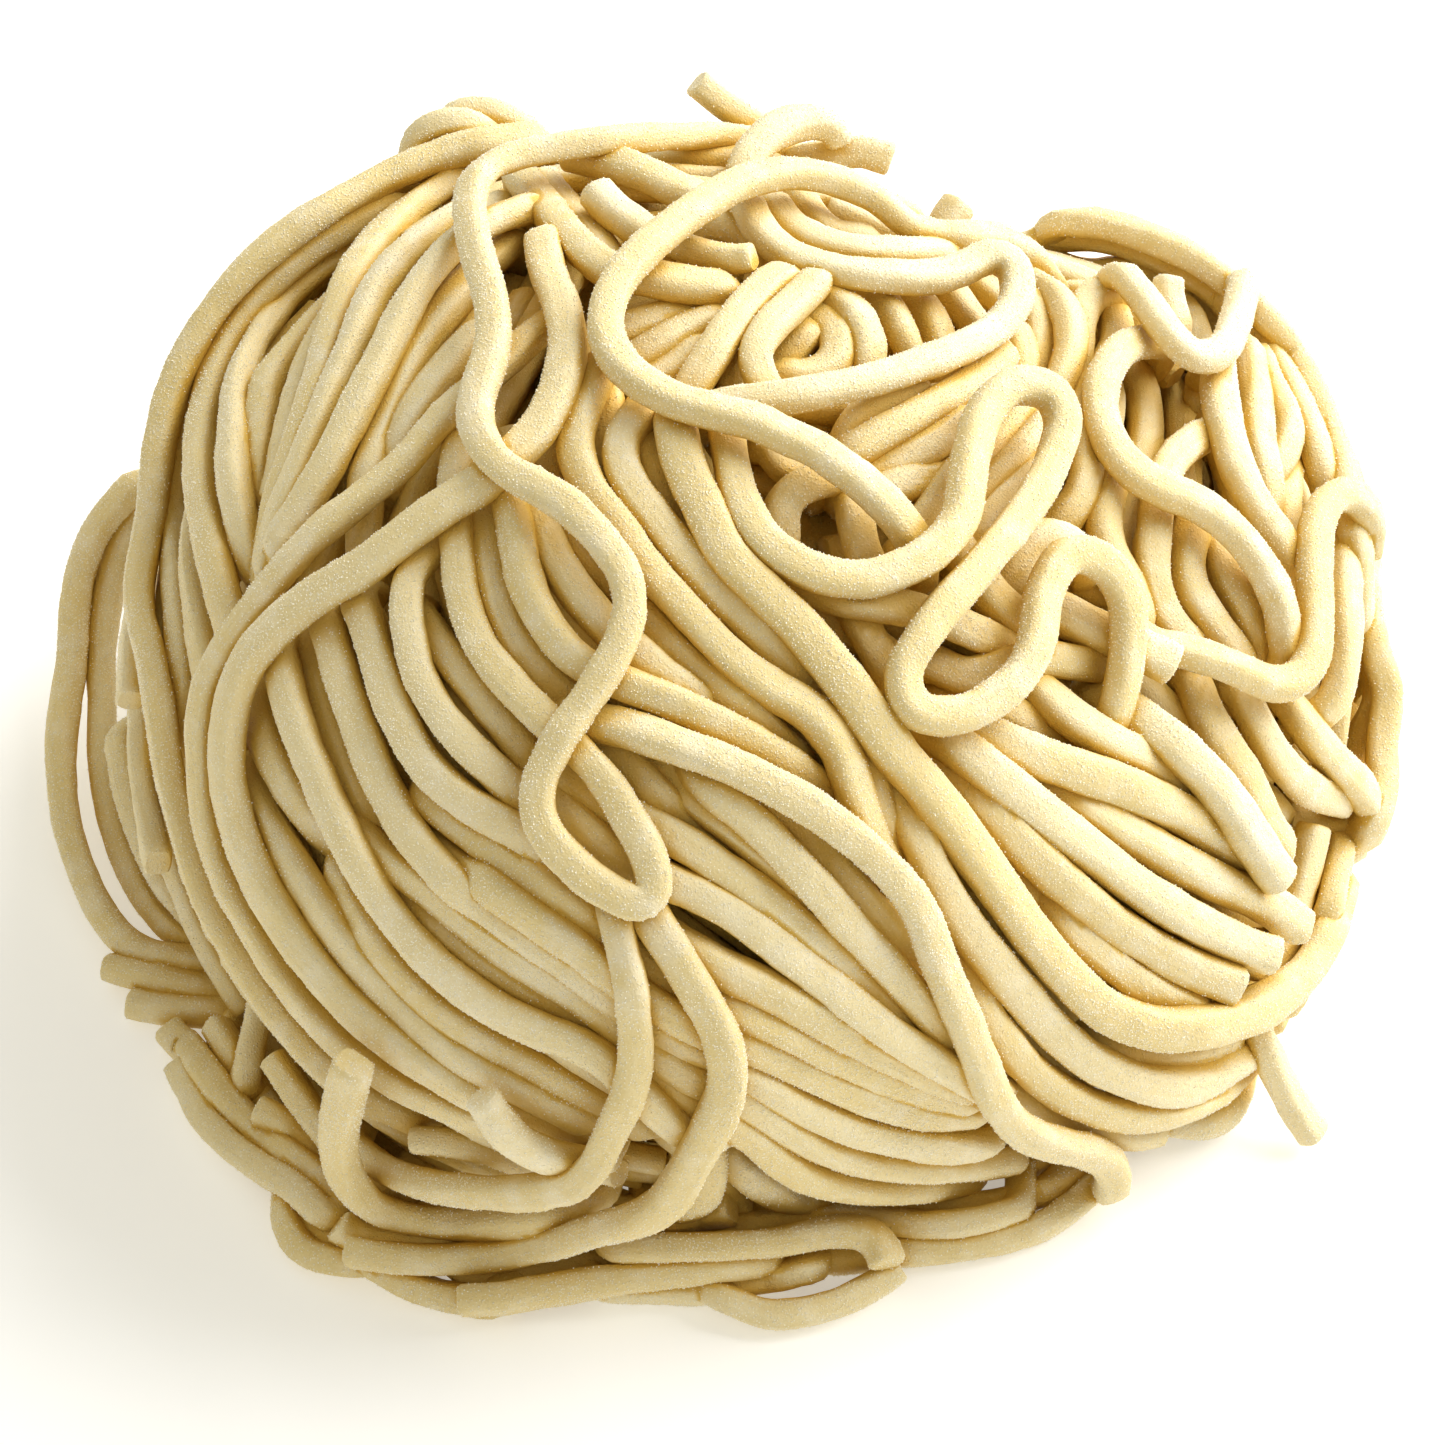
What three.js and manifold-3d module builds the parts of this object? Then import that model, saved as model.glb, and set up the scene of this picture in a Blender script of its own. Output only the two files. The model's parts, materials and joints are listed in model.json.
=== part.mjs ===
// A nest of fresh pasta: long soft strands gathered in one hand, folded over themselves and set down,
// so that they lie as a ball with a lower lobe at its right, loose coils round its left foot and stray
// ends at its edges. Here it is one solid out to its uneven outline: the heap with the lie of its strands
// in relief, and the strands that stand clear of it or lie loose on it as tubes at their real thickness.
// Millimetres. +Z is up, +X is right and -Y is the front. The origin is on the table, at the middle of
// the outline.
import * as THREE from "three";
import { mergeVertices } from "three/addons/utils/BufferGeometryUtils.js";
import Module from "manifold-3d";

// Driving dimensions
const STRAND = 2.4; // thickness of one strand
const LOBES = [
  { centre: [-5, -2, 20], radii: [43, 46, 38] }, // the main winding
  { centre: [23, 7, 17], radii: [29, 34, 26] }, // the end of the bundle, folded round the right
  { centre: [19, -15, 12], radii: [27, 26, 22] }, // its cut ends, fanned out at the front right
];
const BLEND = 9; // how softly one lobe runs into the next
const HUB = [4, 2, 12]; // the point inside the heap that its surface is measured from

// The lie of the strands in relief
const RIDGES = 27; // bundles round the heap
const RIDGE_DEPTH = 1.8; // groove between two bundles
const SWELL = 0.7; // how far one bundle stands out more than the next
const TWIST = 0.75; // turn of a bundle about the vertical for each radian down from the crown
const CALM_CROWN = 0.7; // polar angle, in radians, inside which the relief dies away

// Fineness
const FACETS_PER_RIDGE = 4;
const DOWN = 24; // facets from the crown to the underside
const TUBE_SIDES = 6;
const TUBE_STEP = 4.8; // length of a facet along a strand
const TABLE_BLOCK = 200; // side of the block that cuts the heap flat at the table

const PASTA = new THREE.MeshStandardMaterial({ color: 0xe6d3a0, roughness: 0.75, metalness: 0 });

// Strands that stand clear of the heap or lie loose on it: the middle line of each, from end to end.
const LOOSE_STRANDS = {
  leftOuterCoil: [
    [-44, 26, 20], [-49, 19, 12], [-50.3, 9, 6], [-50.8, 0, 4], [-46.8, -12, 2.4], [-38, -16, 1.6],
    [-30, -18, 3],
  ],
  leftMiddleCoil: [
    [-43, 27, 16], [-48, 17, 8], [-49, 7, 3.6], [-47, -3, 2], [-43.5, -10, 1.4], [-36, -15, 1.4],
  ],
  leftInnerCoil: [[-44, 10, 12], [-46, 2, 8], [-43.5, -6, 5], [-40, -13, 4], [-34, -18, 5]],
  leftUpperEnd: [[-47.5, -15, 1.4], [-38, -17.5, 1.3], [-30, -20, 2]],
  leftLowerEnd: [[-45.5, -18.5, 1.3], [-37, -20, 1.3], [-30, -23, 2]],
  frontLeftStrand: [
    [-42.5, -21, 1.6], [-40, -25.5, 2.4], [-34, -32, 3], [-28, -38.5, 3.4], [-20, -38, 6],
  ],
  frontLeftLowStrand: [
    [-41.5, -23, 1.4], [-38.5, -29.5, 1.4], [-34, -34.5, 1.6], [-29, -39, 2], [-20, -40, 4],
  ],
  frontLeftBend: [[-30, -30, 2], [-31.5, -36, 1.3], [-31, -41, 1.3], [-25, -42, 1.3], [-16, -40, 4]],
  frontLowStrand: [[-19.5, -47, 2.6], [-10, -46, 2.8], [3, -43.5, 3], [12, -38, 6]],
  frontLoop: [
    [-12, -38, 8], [-7, -43.5, 5], [1, -44, 5.2], [8, -43.5, 4.8], [11.5, -42.5, 4], [11.7, -45, 2.8],
    [6.5, -47, 1.6], [0.5, -46.5, 1.5], [-4, -42, 1.3],
  ],
  frontUprightEnd: [
    [-26.5, -42, 25], [-28, -41.5, 17], [-27.5, -41, 10], [-25, -40, 5], [-20.5, -40.5, 3.4],
    [-10, -41, 7],
  ],
  frontHangingStrand: [
    [-5, -40, 39], [-1, -44, 36], [0.5, -46.5, 30], [-1, -48, 23], [-4.5, -48, 16], [-9, -46, 9],
    [-15, -44, 4.5], [-27, -43.5, 4],
  ],
  frontRightStrand: [[4, -40, 2], [13, -42, 1.3], [21, -40.5, 1.3], [28.5, -35, 2], [31, -28, 5]],
  rightFootCoil: [[30, -28, 4], [34, -30.5, 2.4], [38, -30, 2.2], [40.5, -25, 3.6], [43, -18, 7]],
  rightStrayEnd: [[37, -21, 12], [40, -27, 8.5], [42.5, -29.5, 4.6], [44.5, -31, 1.3]],
  topLeftLoop: [
    [-24.5, 29, 39], [-24, 33, 41.5], [-21.5, 34.5, 43.5], [-18.5, 34.5, 42.5], [-16, 32, 41],
  ],
  topTip: [[-2, 35.5, 46.8], [0.5, 34.5, 45], [3.5, 33, 43], [6, 29, 42]],
  topCurl: [[1.5, 24, 46.5], [2.5, 27.5, 47.2], [5, 30, 47], [8, 31, 45.5], [9, 30.5, 44.5]],
  topRightEnd: [[3, 29, 43], [8, 31.5, 42], [13, 31, 42.4]],
  topRightStub: [[16, 26, 36], [17, 28.5, 37.2], [18.3, 30.5, 38.6]],
  crownLoop: [
    [25, 21, 38.5], [22.5, 22, 42], [18, 19, 46.5], [11, 20, 50.5], [4.5, 18, 54], [-1, 12.5, 56.5],
    [-6, 6, 58], [-8, 0, 58.3], [-7, -5.5, 58], [-2, -9.5, 57.5], [7, -12, 56], [12, -14.5, 52.5],
    [14, -16, 49.8],
  ],
  middleStrand: [
    [6, 32, 40.5], [2, 32, 44], [-7, 25.5, 50.5], [-16, 21, 52.5], [-18.5, 16, 54], [-17, 8, 55.8],
    [-16.5, 0, 56.7], [-18, -6, 56.8], [-16, -13, 57], [-11, -18.5, 56], [-7, -22, 55], [-6.5, -26.5, 53],
    [-10, -31.5, 49.5], [-13, -36, 46], [-12, -39, 43.8], [-8.5, -40, 42.5], [-5, -40.5, 42],
    [-5, -38, 43.5], [-8, -34, 46.5], [-17.5, -23, 49.5], [-19, -7, 52],
  ],
  twistedCoil: [
    [0, -7, 54.5], [1, -13, 54.5], [3, -18, 54], [6.5, -20.5, 53.3], [10, -20.5, 52.5], [14, -18.5, 52],
    [17, -14, 52], [19, -7, 52.4], [20, -2.5, 52.3], [22, -1, 51.8], [24, -1.5, 50.5], [24.5, -5, 49.8],
    [22.5, -10, 49.5], [16, -20.5, 50], [12.5, -26, 48.3], [14.5, -28, 46.5], [19, -25.5, 45.5],
    [23, -18, 46.8], [25.5, -12.5, 46.3], [27.8, -11.8, 44.5], [29, -14.5, 42], [27.5, -20, 34.5],
  ],
  shoulderCoil: [
    [29.5, -12.5, 37.5], [35, -13.5, 36], [42, -11.5, 31.5], [45, -7.5, 31.5], [45.2, 4, 32.5],
    [46.5, 6.5, 31.8], [49, 6.5, 30], [50.1, 6, 26],
  ],
  shoulderBend: [[30, 19.5, 41.5], [33, 13.5, 42.3], [35.5, 12, 40.5], [38, 15, 39], [40, 25.5, 34.5]],
  backFootCoil: [
    [-23, 30, 8], [-26.5, 38.5, 2.4], [-21, 43.5, 1.5], [-9, 47.5, 1.3], [4, 48.3, 1.3], [17, 46.4, 1.3],
    [26, 42.5, 1.6], [32, 38, 3], [35, 32, 6.5], [34, 26, 9],
  ],
  backRightCoil: [
    [28, 32, 8], [35.5, 35, 2.2], [38.5, 33, 1.4], [41.5, 28, 1.3], [41, 22, 3.5], [38, 17, 7],
  ],
  backLeftEnd: [[-30, 25, 8], [-38.5, 27.5, 1.8], [-40.5, 24, 1.3], [-41.5, 19.5, 1.3]],
};

const wasm = await Module();
wasm.setup();

const UPWARD = new THREE.Vector3(0, 0, 1);
const vector = (coordinates) => new THREE.Vector3(...coordinates);

// Distance from a point to an ellipsoid, negative inside and exact enough near its surface.
function ellipsoidDistance(point, { centre, radii }) {
  const scaled = point.clone().sub(vector(centre)).divide(vector(radii));
  const gradient = scaled.clone().divide(vector(radii)).length();
  return (scaled.length() * (scaled.length() - 1)) / gradient;
}

// The smaller of two distances, rounded where they meet.
function smoothMinimum(a, b, softness) {
  const share = Math.max(softness - Math.abs(a - b), 0) / softness;
  return Math.min(a, b) - (share * share * softness) / 4;
}

function heapDistance(point) {
  return LOBES.map((lobe) => ellipsoidDistance(point, lobe)).reduce((a, b) => smoothMinimum(a, b, BLEND));
}

// How far the heap reaches from the hub along a direction.
function heapReach(direction) {
  let near = 0;
  let far = TABLE_BLOCK;
  while (far - near > 0.005) {
    const middle = (near + far) / 2;
    if (heapDistance(vector(HUB).addScaledVector(direction, middle)) < 0) near = middle;
    else far = middle;
  }
  return near;
}

// How far the surface stands out or in at an azimuth and a polar angle: rounded bundles with grooves
// between them.
function relief(azimuth, polar) {
  const ridge = Math.sqrt(Math.abs(Math.sin((RIDGES * azimuth) / 2))) - 1;
  const swell = Math.sin(5 * azimuth + 3 * polar) - 1;
  const shown = THREE.MathUtils.smoothstep(polar, 0, CALM_CROWN);
  return shown * (RIDGE_DEPTH * ridge + SWELL * swell);
}

// A geometry's closed surface as a manifold-3d solid.
function solidFrom(geometry) {
  geometry.deleteAttribute("normal");
  geometry.deleteAttribute("uv");
  const merged = mergeVertices(geometry, 1e-4);
  return new wasm.Manifold(
    new wasm.Mesh({
      numProp: 3,
      vertProperties: merged.attributes.position.array,
      triVerts: new Uint32Array(merged.index.array),
    }),
  );
}

function geometryFrom(solid) {
  const { vertProperties, triVerts } = solid.getMesh();
  const geometry = new THREE.BufferGeometry();
  geometry.setAttribute("position", new THREE.BufferAttribute(vertProperties, 3));
  geometry.setIndex(new THREE.BufferAttribute(triVerts, 1));
  geometry.computeVertexNormals();
  return geometry;
}

// The heap: a sphere whose points are turned with the bundles, then moved out or in to its surface.
function heap() {
  const sphere = new THREE.SphereGeometry(1, RIDGES * FACETS_PER_RIDGE, DOWN).rotateX(Math.PI / 2);
  const position = sphere.attributes.position;
  for (let i = 0; i < position.count; i++) {
    const direction = new THREE.Vector3().fromBufferAttribute(position, i).normalize();
    const azimuth = Math.atan2(direction.y, direction.x);
    const polar = Math.acos(THREE.MathUtils.clamp(direction.z, -1, 1));
    direction.applyAxisAngle(UPWARD, TWIST * polar);
    const reach = heapReach(direction) + relief(azimuth, polar);
    position.setXYZ(i, ...vector(HUB).addScaledVector(direction, reach).toArray());
  }
  return solidFrom(sphere);
}

// One strand: a round section along its middle line.
function strand(points) {
  const curve = new THREE.CatmullRomCurve3(points.map(vector), false, "centripetal");
  const section = new THREE.Shape(
    Array.from({ length: TUBE_SIDES }, (_, i) => {
      const angle = (2 * Math.PI * (i + 0.5)) / TUBE_SIDES;
      return new THREE.Vector2(Math.cos(angle), Math.sin(angle)).multiplyScalar(STRAND / 2);
    }),
  );
  const steps = Math.ceil(curve.getLength() / TUBE_STEP);
  return solidFrom(new THREE.ExtrudeGeometry(section, { steps, extrudePath: curve, bevelEnabled: false }));
}

// Everything under the table's surface, as a block.
function underTable() {
  const block = new THREE.BoxGeometry(TABLE_BLOCK, TABLE_BLOCK, TABLE_BLOCK);
  return solidFrom(block.translate(0, 0, -TABLE_BLOCK / 2));
}

function nest() {
  let solid = heap();
  for (const points of Object.values(LOOSE_STRANDS)) solid = solid.add(strand(points));
  const mesh = new THREE.Mesh(geometryFrom(solid.subtract(underTable())), PASTA);
  mesh.name = "pasta_nest";
  return mesh;
}

const part = new THREE.Group();
part.name = "fresh_pasta_nest";
part.add(nest());

export default part;
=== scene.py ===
"""A nest of fresh pasta: long uneven strands wound round each other and dusted with flour.

Lengths are in millimetres until a mesh is made, and the table is the plane z = 0. The strands that show best
are written down as routes, in the plane that faces the camera. A route is laid on the heap, the nest's
overall form, so many strands deep. Strands that follow the run of their neighbours fill the rest, and then
all of them settle against each other until they touch.
"""

import itertools
import json
import logging
import math
from collections.abc import Iterable, Sequence
from dataclasses import dataclass, field
from enum import Enum
from typing import Any

import bmesh
import bpy
import numpy as np
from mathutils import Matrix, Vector
from mathutils.kdtree import KDTree

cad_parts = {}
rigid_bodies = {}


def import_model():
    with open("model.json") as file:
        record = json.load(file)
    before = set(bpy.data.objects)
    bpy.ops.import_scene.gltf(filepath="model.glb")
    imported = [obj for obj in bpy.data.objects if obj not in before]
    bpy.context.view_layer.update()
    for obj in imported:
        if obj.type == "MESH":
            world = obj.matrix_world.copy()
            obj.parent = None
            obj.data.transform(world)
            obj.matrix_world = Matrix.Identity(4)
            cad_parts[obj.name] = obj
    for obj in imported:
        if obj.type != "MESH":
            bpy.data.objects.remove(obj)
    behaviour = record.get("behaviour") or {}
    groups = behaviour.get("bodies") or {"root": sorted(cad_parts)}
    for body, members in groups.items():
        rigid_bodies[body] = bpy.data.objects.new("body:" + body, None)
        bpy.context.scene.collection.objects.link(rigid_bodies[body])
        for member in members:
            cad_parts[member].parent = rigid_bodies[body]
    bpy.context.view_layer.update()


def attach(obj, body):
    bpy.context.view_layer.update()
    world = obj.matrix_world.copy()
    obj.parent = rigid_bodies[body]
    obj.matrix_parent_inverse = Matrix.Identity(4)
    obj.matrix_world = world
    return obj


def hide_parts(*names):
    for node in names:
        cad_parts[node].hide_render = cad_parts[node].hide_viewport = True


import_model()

Array = np.ndarray
Colour = tuple[float, float, float]
Triple = tuple[float, float, float]

LOG = logging.getLogger("pasta_nest")
METRES = 0.001

# A strand's thickness, the distance between the points of its line, how far one layer lies under the next,
# and how high the line of a strand that rests on the table lies.
STRAND = 2.4
STEP = 1.25
LAYER = 2.2
TABLE_REST = 1.25

# The turn from one spot to the next that spreads spots evenly over a ball, in half turns.
GOLDEN_TURN = 3.0 - math.sqrt(5.0)


class Ends(Enum):
    """Which ends of a strand are cut ends that show. The others run on into the nest."""

    HIDDEN = "hidden"
    START = "start"
    END = "end"


class Side(Enum):
    """The parts of the heap that a layer of filling strands may run over."""

    AWAY = "away from the camera"
    EVERYWHERE = "everywhere"


@dataclass(frozen=True)
class Route:
    """One strand's course in the plane that faces the camera.

    places holds x and y by turns. layers says how many strands deep it runs under the heap's outline, spread
    evenly from start to end, and below nought it stands proud. heights is given instead for a strand that
    lies low beside the heap, as its height over the table. A strand on the sides that face away from the
    camera has spots, which hold x, y and z by turns.
    """

    places: tuple[float, ...] = ()
    layers: tuple[float, ...] = ()
    heights: tuple[float, ...] = ()
    spots: tuple[float, ...] = ()
    ends: Ends = Ends.HIDDEN
    girth: float = 1.0


def laid(layers: tuple[float, ...], places: tuple[float, ...], ends: Ends = Ends.HIDDEN,
         girth: float = 1.0) -> Route:
    """Returns the route of a strand that is laid on the heap."""
    return Route(places, layers=layers, ends=ends, girth=girth)


def lying(heights: tuple[float, ...], places: tuple[float, ...], ends: Ends = Ends.HIDDEN,
          girth: float = 1.0) -> Route:
    """Returns the route of a strand that lies low beside the heap."""
    return Route(places, heights=heights, ends=ends, girth=girth)


def wound(layers: tuple[float, ...], spots: tuple[float, ...], ends: Ends = Ends.HIDDEN,
          girth: float = 1.0) -> Route:
    """Returns the route of a strand on the far sides, which is laid on the heap where layers are given."""
    return Route(layers=layers, spots=spots, ends=ends, girth=girth)


# The bundle that comes down the left side.
RIM_ROUTES = (
    laid((0.8, 0, 0, 0, 0.3, 0.6), (-15,44.9, -20,44.1, -25,42.3, -30,39.7, -33,37.8, -36,35.3, -38.7,32.3,
        -40.8,29, -42.3,25.5, -43.2,21.8, -43.7,18, -44.3,14, -44.9,10.5, -44.7,8, -44.1,5.5, -43.5,2.5,
        -43,-1, -42.3,-5, -41.3,-8.5, -40.2,-12, -38.9,-15, -37,-18, -35.3,-20.8, -33.4,-23.2, -31.3,-25.6,
        -29.2,-27.5, -26.5,-29.2, -23.5,-30.3), girth=1.04),
    laid((1,), (-25,41.2, -30,38.9, -34,36.3, -37.5,33.2, -40,29.3, -41.4,25.5, -42,21, -42.2,18, -42.2,15,
        -41.9,10, -41.5,6, -41.3,3, -41.3,0, -41,-4, -40.5,-8)),
    laid((0.3,), (-25.5,39.7, -28.5,38.5, -31.5,36.8, -34.2,34.5, -36.5,31.8, -38.4,28.5, -39.6,24.5,
        -40.1,20, -39.9,17, -39.5,15, -38.9,12, -38.5,10, -37.9,8.3, -37.3,6), girth=1.05),
    laid((1.1, 0.6, 0.4, 0.3, 0.3), (-24.5,38, -27.5,37, -30.5,35.4, -33.2,33.1, -35.3,30.4, -36.8,27.3,
        -37.5,24, -37.6,20, -37.3,17, -36.5,14, -35.9,12)),
    laid((1,), (-28.5,33.5, -31,31, -33.2,28.5, -35,26, -35.5,22, -35.6,18, -35,14)),
    laid((0.4,), (-20.8,41.8, -24,39.5, -26.5,37, -28.3,34.5, -29.5,31.5, -30.5,28, -31.8,24, -33,20,
        -34,17, -34.6,14, -35,11)),
    laid((0.2,), (-20.3,39, -23,37.3, -25,35.5, -26.8,33, -28,30, -29.5,26.5, -31,23, -32.5,19.5, -34,15.5,
        -35,12)),
    laid((0,), (-15,39.5, -18,38.5, -20.5,36.8, -22.8,34.3, -24.5,31.5, -26.2,28, -28,24.5, -30,20.5,
        -32,17, -34.2,13.5)),
    laid((1,), (-16.5,37, -19,34.5, -21.5,31.5, -23.5,28.5, -25.5,24, -27,20, -27.6,16, -27.5,12)),
    laid((0.8,), (-18.6,30, -20.5,28, -22.5,25.5, -24.3,22.5, -25.5,19)),
)

# The wide sweep from the left side across the front.
SWEEP_ROUTES = (
    laid((0.5, -0.4, -0.5, -0.5, -0.5, -0.3, -0.2, 0, 0.2, 0.5), (-13.8,37, -13.4,34.5, -12.2,31.5,
        -11.9,28.5, -12.6,25.5, -14,22.8, -15.8,20.8, -18,18.7, -22,16.2, -25,14, -28,11.7, -31,9.9,
        -34,7.6, -36.3,5, -37.6,2, -38.1,-1, -38.1,-4, -37.6,-7, -36.6,-10, -35.2,-13, -33.9,-15,
        -31.5,-18.5, -29,-21.3, -26,-24, -22.5,-26.5, -19,-28.5, -15,-30, -10.5,-31.5), girth=1.06),
    laid((0.6, 0.1, -0.3, -0.3, -0.1, 0.2, 0.5), (-13,31, -16,28.5, -19,25.7, -22,23, -24.4,20.1,
        -28.7,16.5, -31.5,14.2, -34.9,10.4, -37,7.5, -38.7,5, -39.8,2, -40.1,-1, -40,-4, -39.7,-7, -39,-10,
        -37.9,-13, -36.4,-15.5, -34.3,-19, -31.8,-22.2, -29,-25, -25.5,-27.4, -22,-29.2, -18,-30.7,
        -14,-31.8), girth=0.87),
    laid((0.6, 0.6, 0.8, 1.1), (-35.8,1.5, -34.8,-2, -33,-5.2, -31,-7.8, -28.6,-10.4)),
    laid((0.5,), (-36.4,-4, -35.3,-7, -33.3,-10.5, -31,-14, -28.8,-17, -26.3,-20, -23.3,-23, -20,-25.7,
        -17,-27.4, -14,-28.8, -10.5,-30.4)),
    laid((0,), (-34.2,5.5, -33.6,3, -32.8,0, -31,-4.5, -29.4,-8, -27.6,-11.5, -25.3,-15, -22.7,-18,
        -20,-20.3, -17,-22.3, -14,-23.7, -11.5,-24.6, -9.3,-25.8, -7.6,-27.4, -5.5,-29.2, -3.3,-31,
        -1,-32.2), girth=0.97),
    laid((0.8,), (-29.5,-11.5, -28,-14.5, -26.3,-17.3, -24,-20, -21.3,-22.4, -18.3,-24.3, -15,-26,
        -12,-27.6, -9.3,-29, -6,-30.9)),
    laid((1.3,), (-31.8,7, -31.2,4, -30.2,0, -28.6,-4, -26.5,-8, -24,-11, -21,-13.5)),
    laid((0.5,), (-30,-5.5, -28,-8.5, -25.5,-10.8, -22.5,-12.8, -20,-14.9, -17,-17.2, -14,-19.1, -11,-21,
        -8.5,-22.8, -5.5,-25, -2.5,-27, 0.4,-28.3, 3.5,-30.2, 7,-32.4, 10.4,-33.7, 14,-34.2, 18,-34.2,
        22,-33.8)),
    laid((0.5,), (-30.5,8, -29.4,4, -28.2,0.5, -26.9,-3, -25.3,-6.5, -23.3,-9.5, -21,-12, -18,-14.3,
        -15,-16.4, -12,-18.4, -9.3,-20.4, -6,-22.6, -3,-24.6, 0,-26, 3,-27.7, 6,-29.4, 9.5,-31, 13,-32,
        16.5,-32.5, 20,-32.5)),
    laid((0.3,), (-28,9.5, -27,6.5, -26,3.3, -24.7,0, -22.8,-3.3, -20.5,-5.5, -18,-7.2, -15.5,-8.6,
        -13,-10.4, -10,-12.8)),
    laid((0.2,), (-22.3,13.3, -23.8,11.5, -24.3,9.3, -24,6.3, -23.2,3.3, -21.9,1, -20.3,-1.1, -18.2,-3.2,
        -16,-5.2, -14,-6.5), girth=0.93),
    laid((0.4,), (-22.8,-5.8, -20,-8, -17,-10.2, -14,-12.2, -11.3,-14.2, -9,-16, -6,-18.5, -3.5,-20.3,
        -1,-21.6, 1.5,-22.4, 4,-23.4, 7,-24.8, 10,-26.2, 13,-27.4, 16,-28.4, 19,-29)),
    laid((1.6, 0.9, 0.3, 0.3, 0.3, 0.3, 0.3, 0.3), (-29.5,-4, -27,-5.8, -24.5,-7.5, -22,-9.8, -19,-12,
        -16,-14, -13,-16, -10.5,-17.8, -8,-19.8, -5,-21.8, -2,-23.4, 1,-24.5, 4,-25.6, 7,-27, 10,-28.3,
        13,-29.3, 16,-29.9, 19.5,-30)),
    laid((0.4,), (-24.5,-12.5, -22,-15, -19,-17.6, -16,-19.6, -13,-21.5, -10,-23.3, -7.5,-25.3, -5,-27.3,
        -2.5,-29, 0,-30.3, 3,-32.4, 5.5,-34.3, 8.5,-35.5, 12,-36, 15.5,-35.7, 19,-35)),
    laid((0.8,), (-23.4,8.2, -21.6,5.8, -19.5,3.2, -17.6,0.8, -15.7,-1.6, -13.8,-4)),
    laid((1.1,), (-22,3.2, -20.2,0.8, -18.2,-1.4, -15.8,-3.8)),
)

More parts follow.
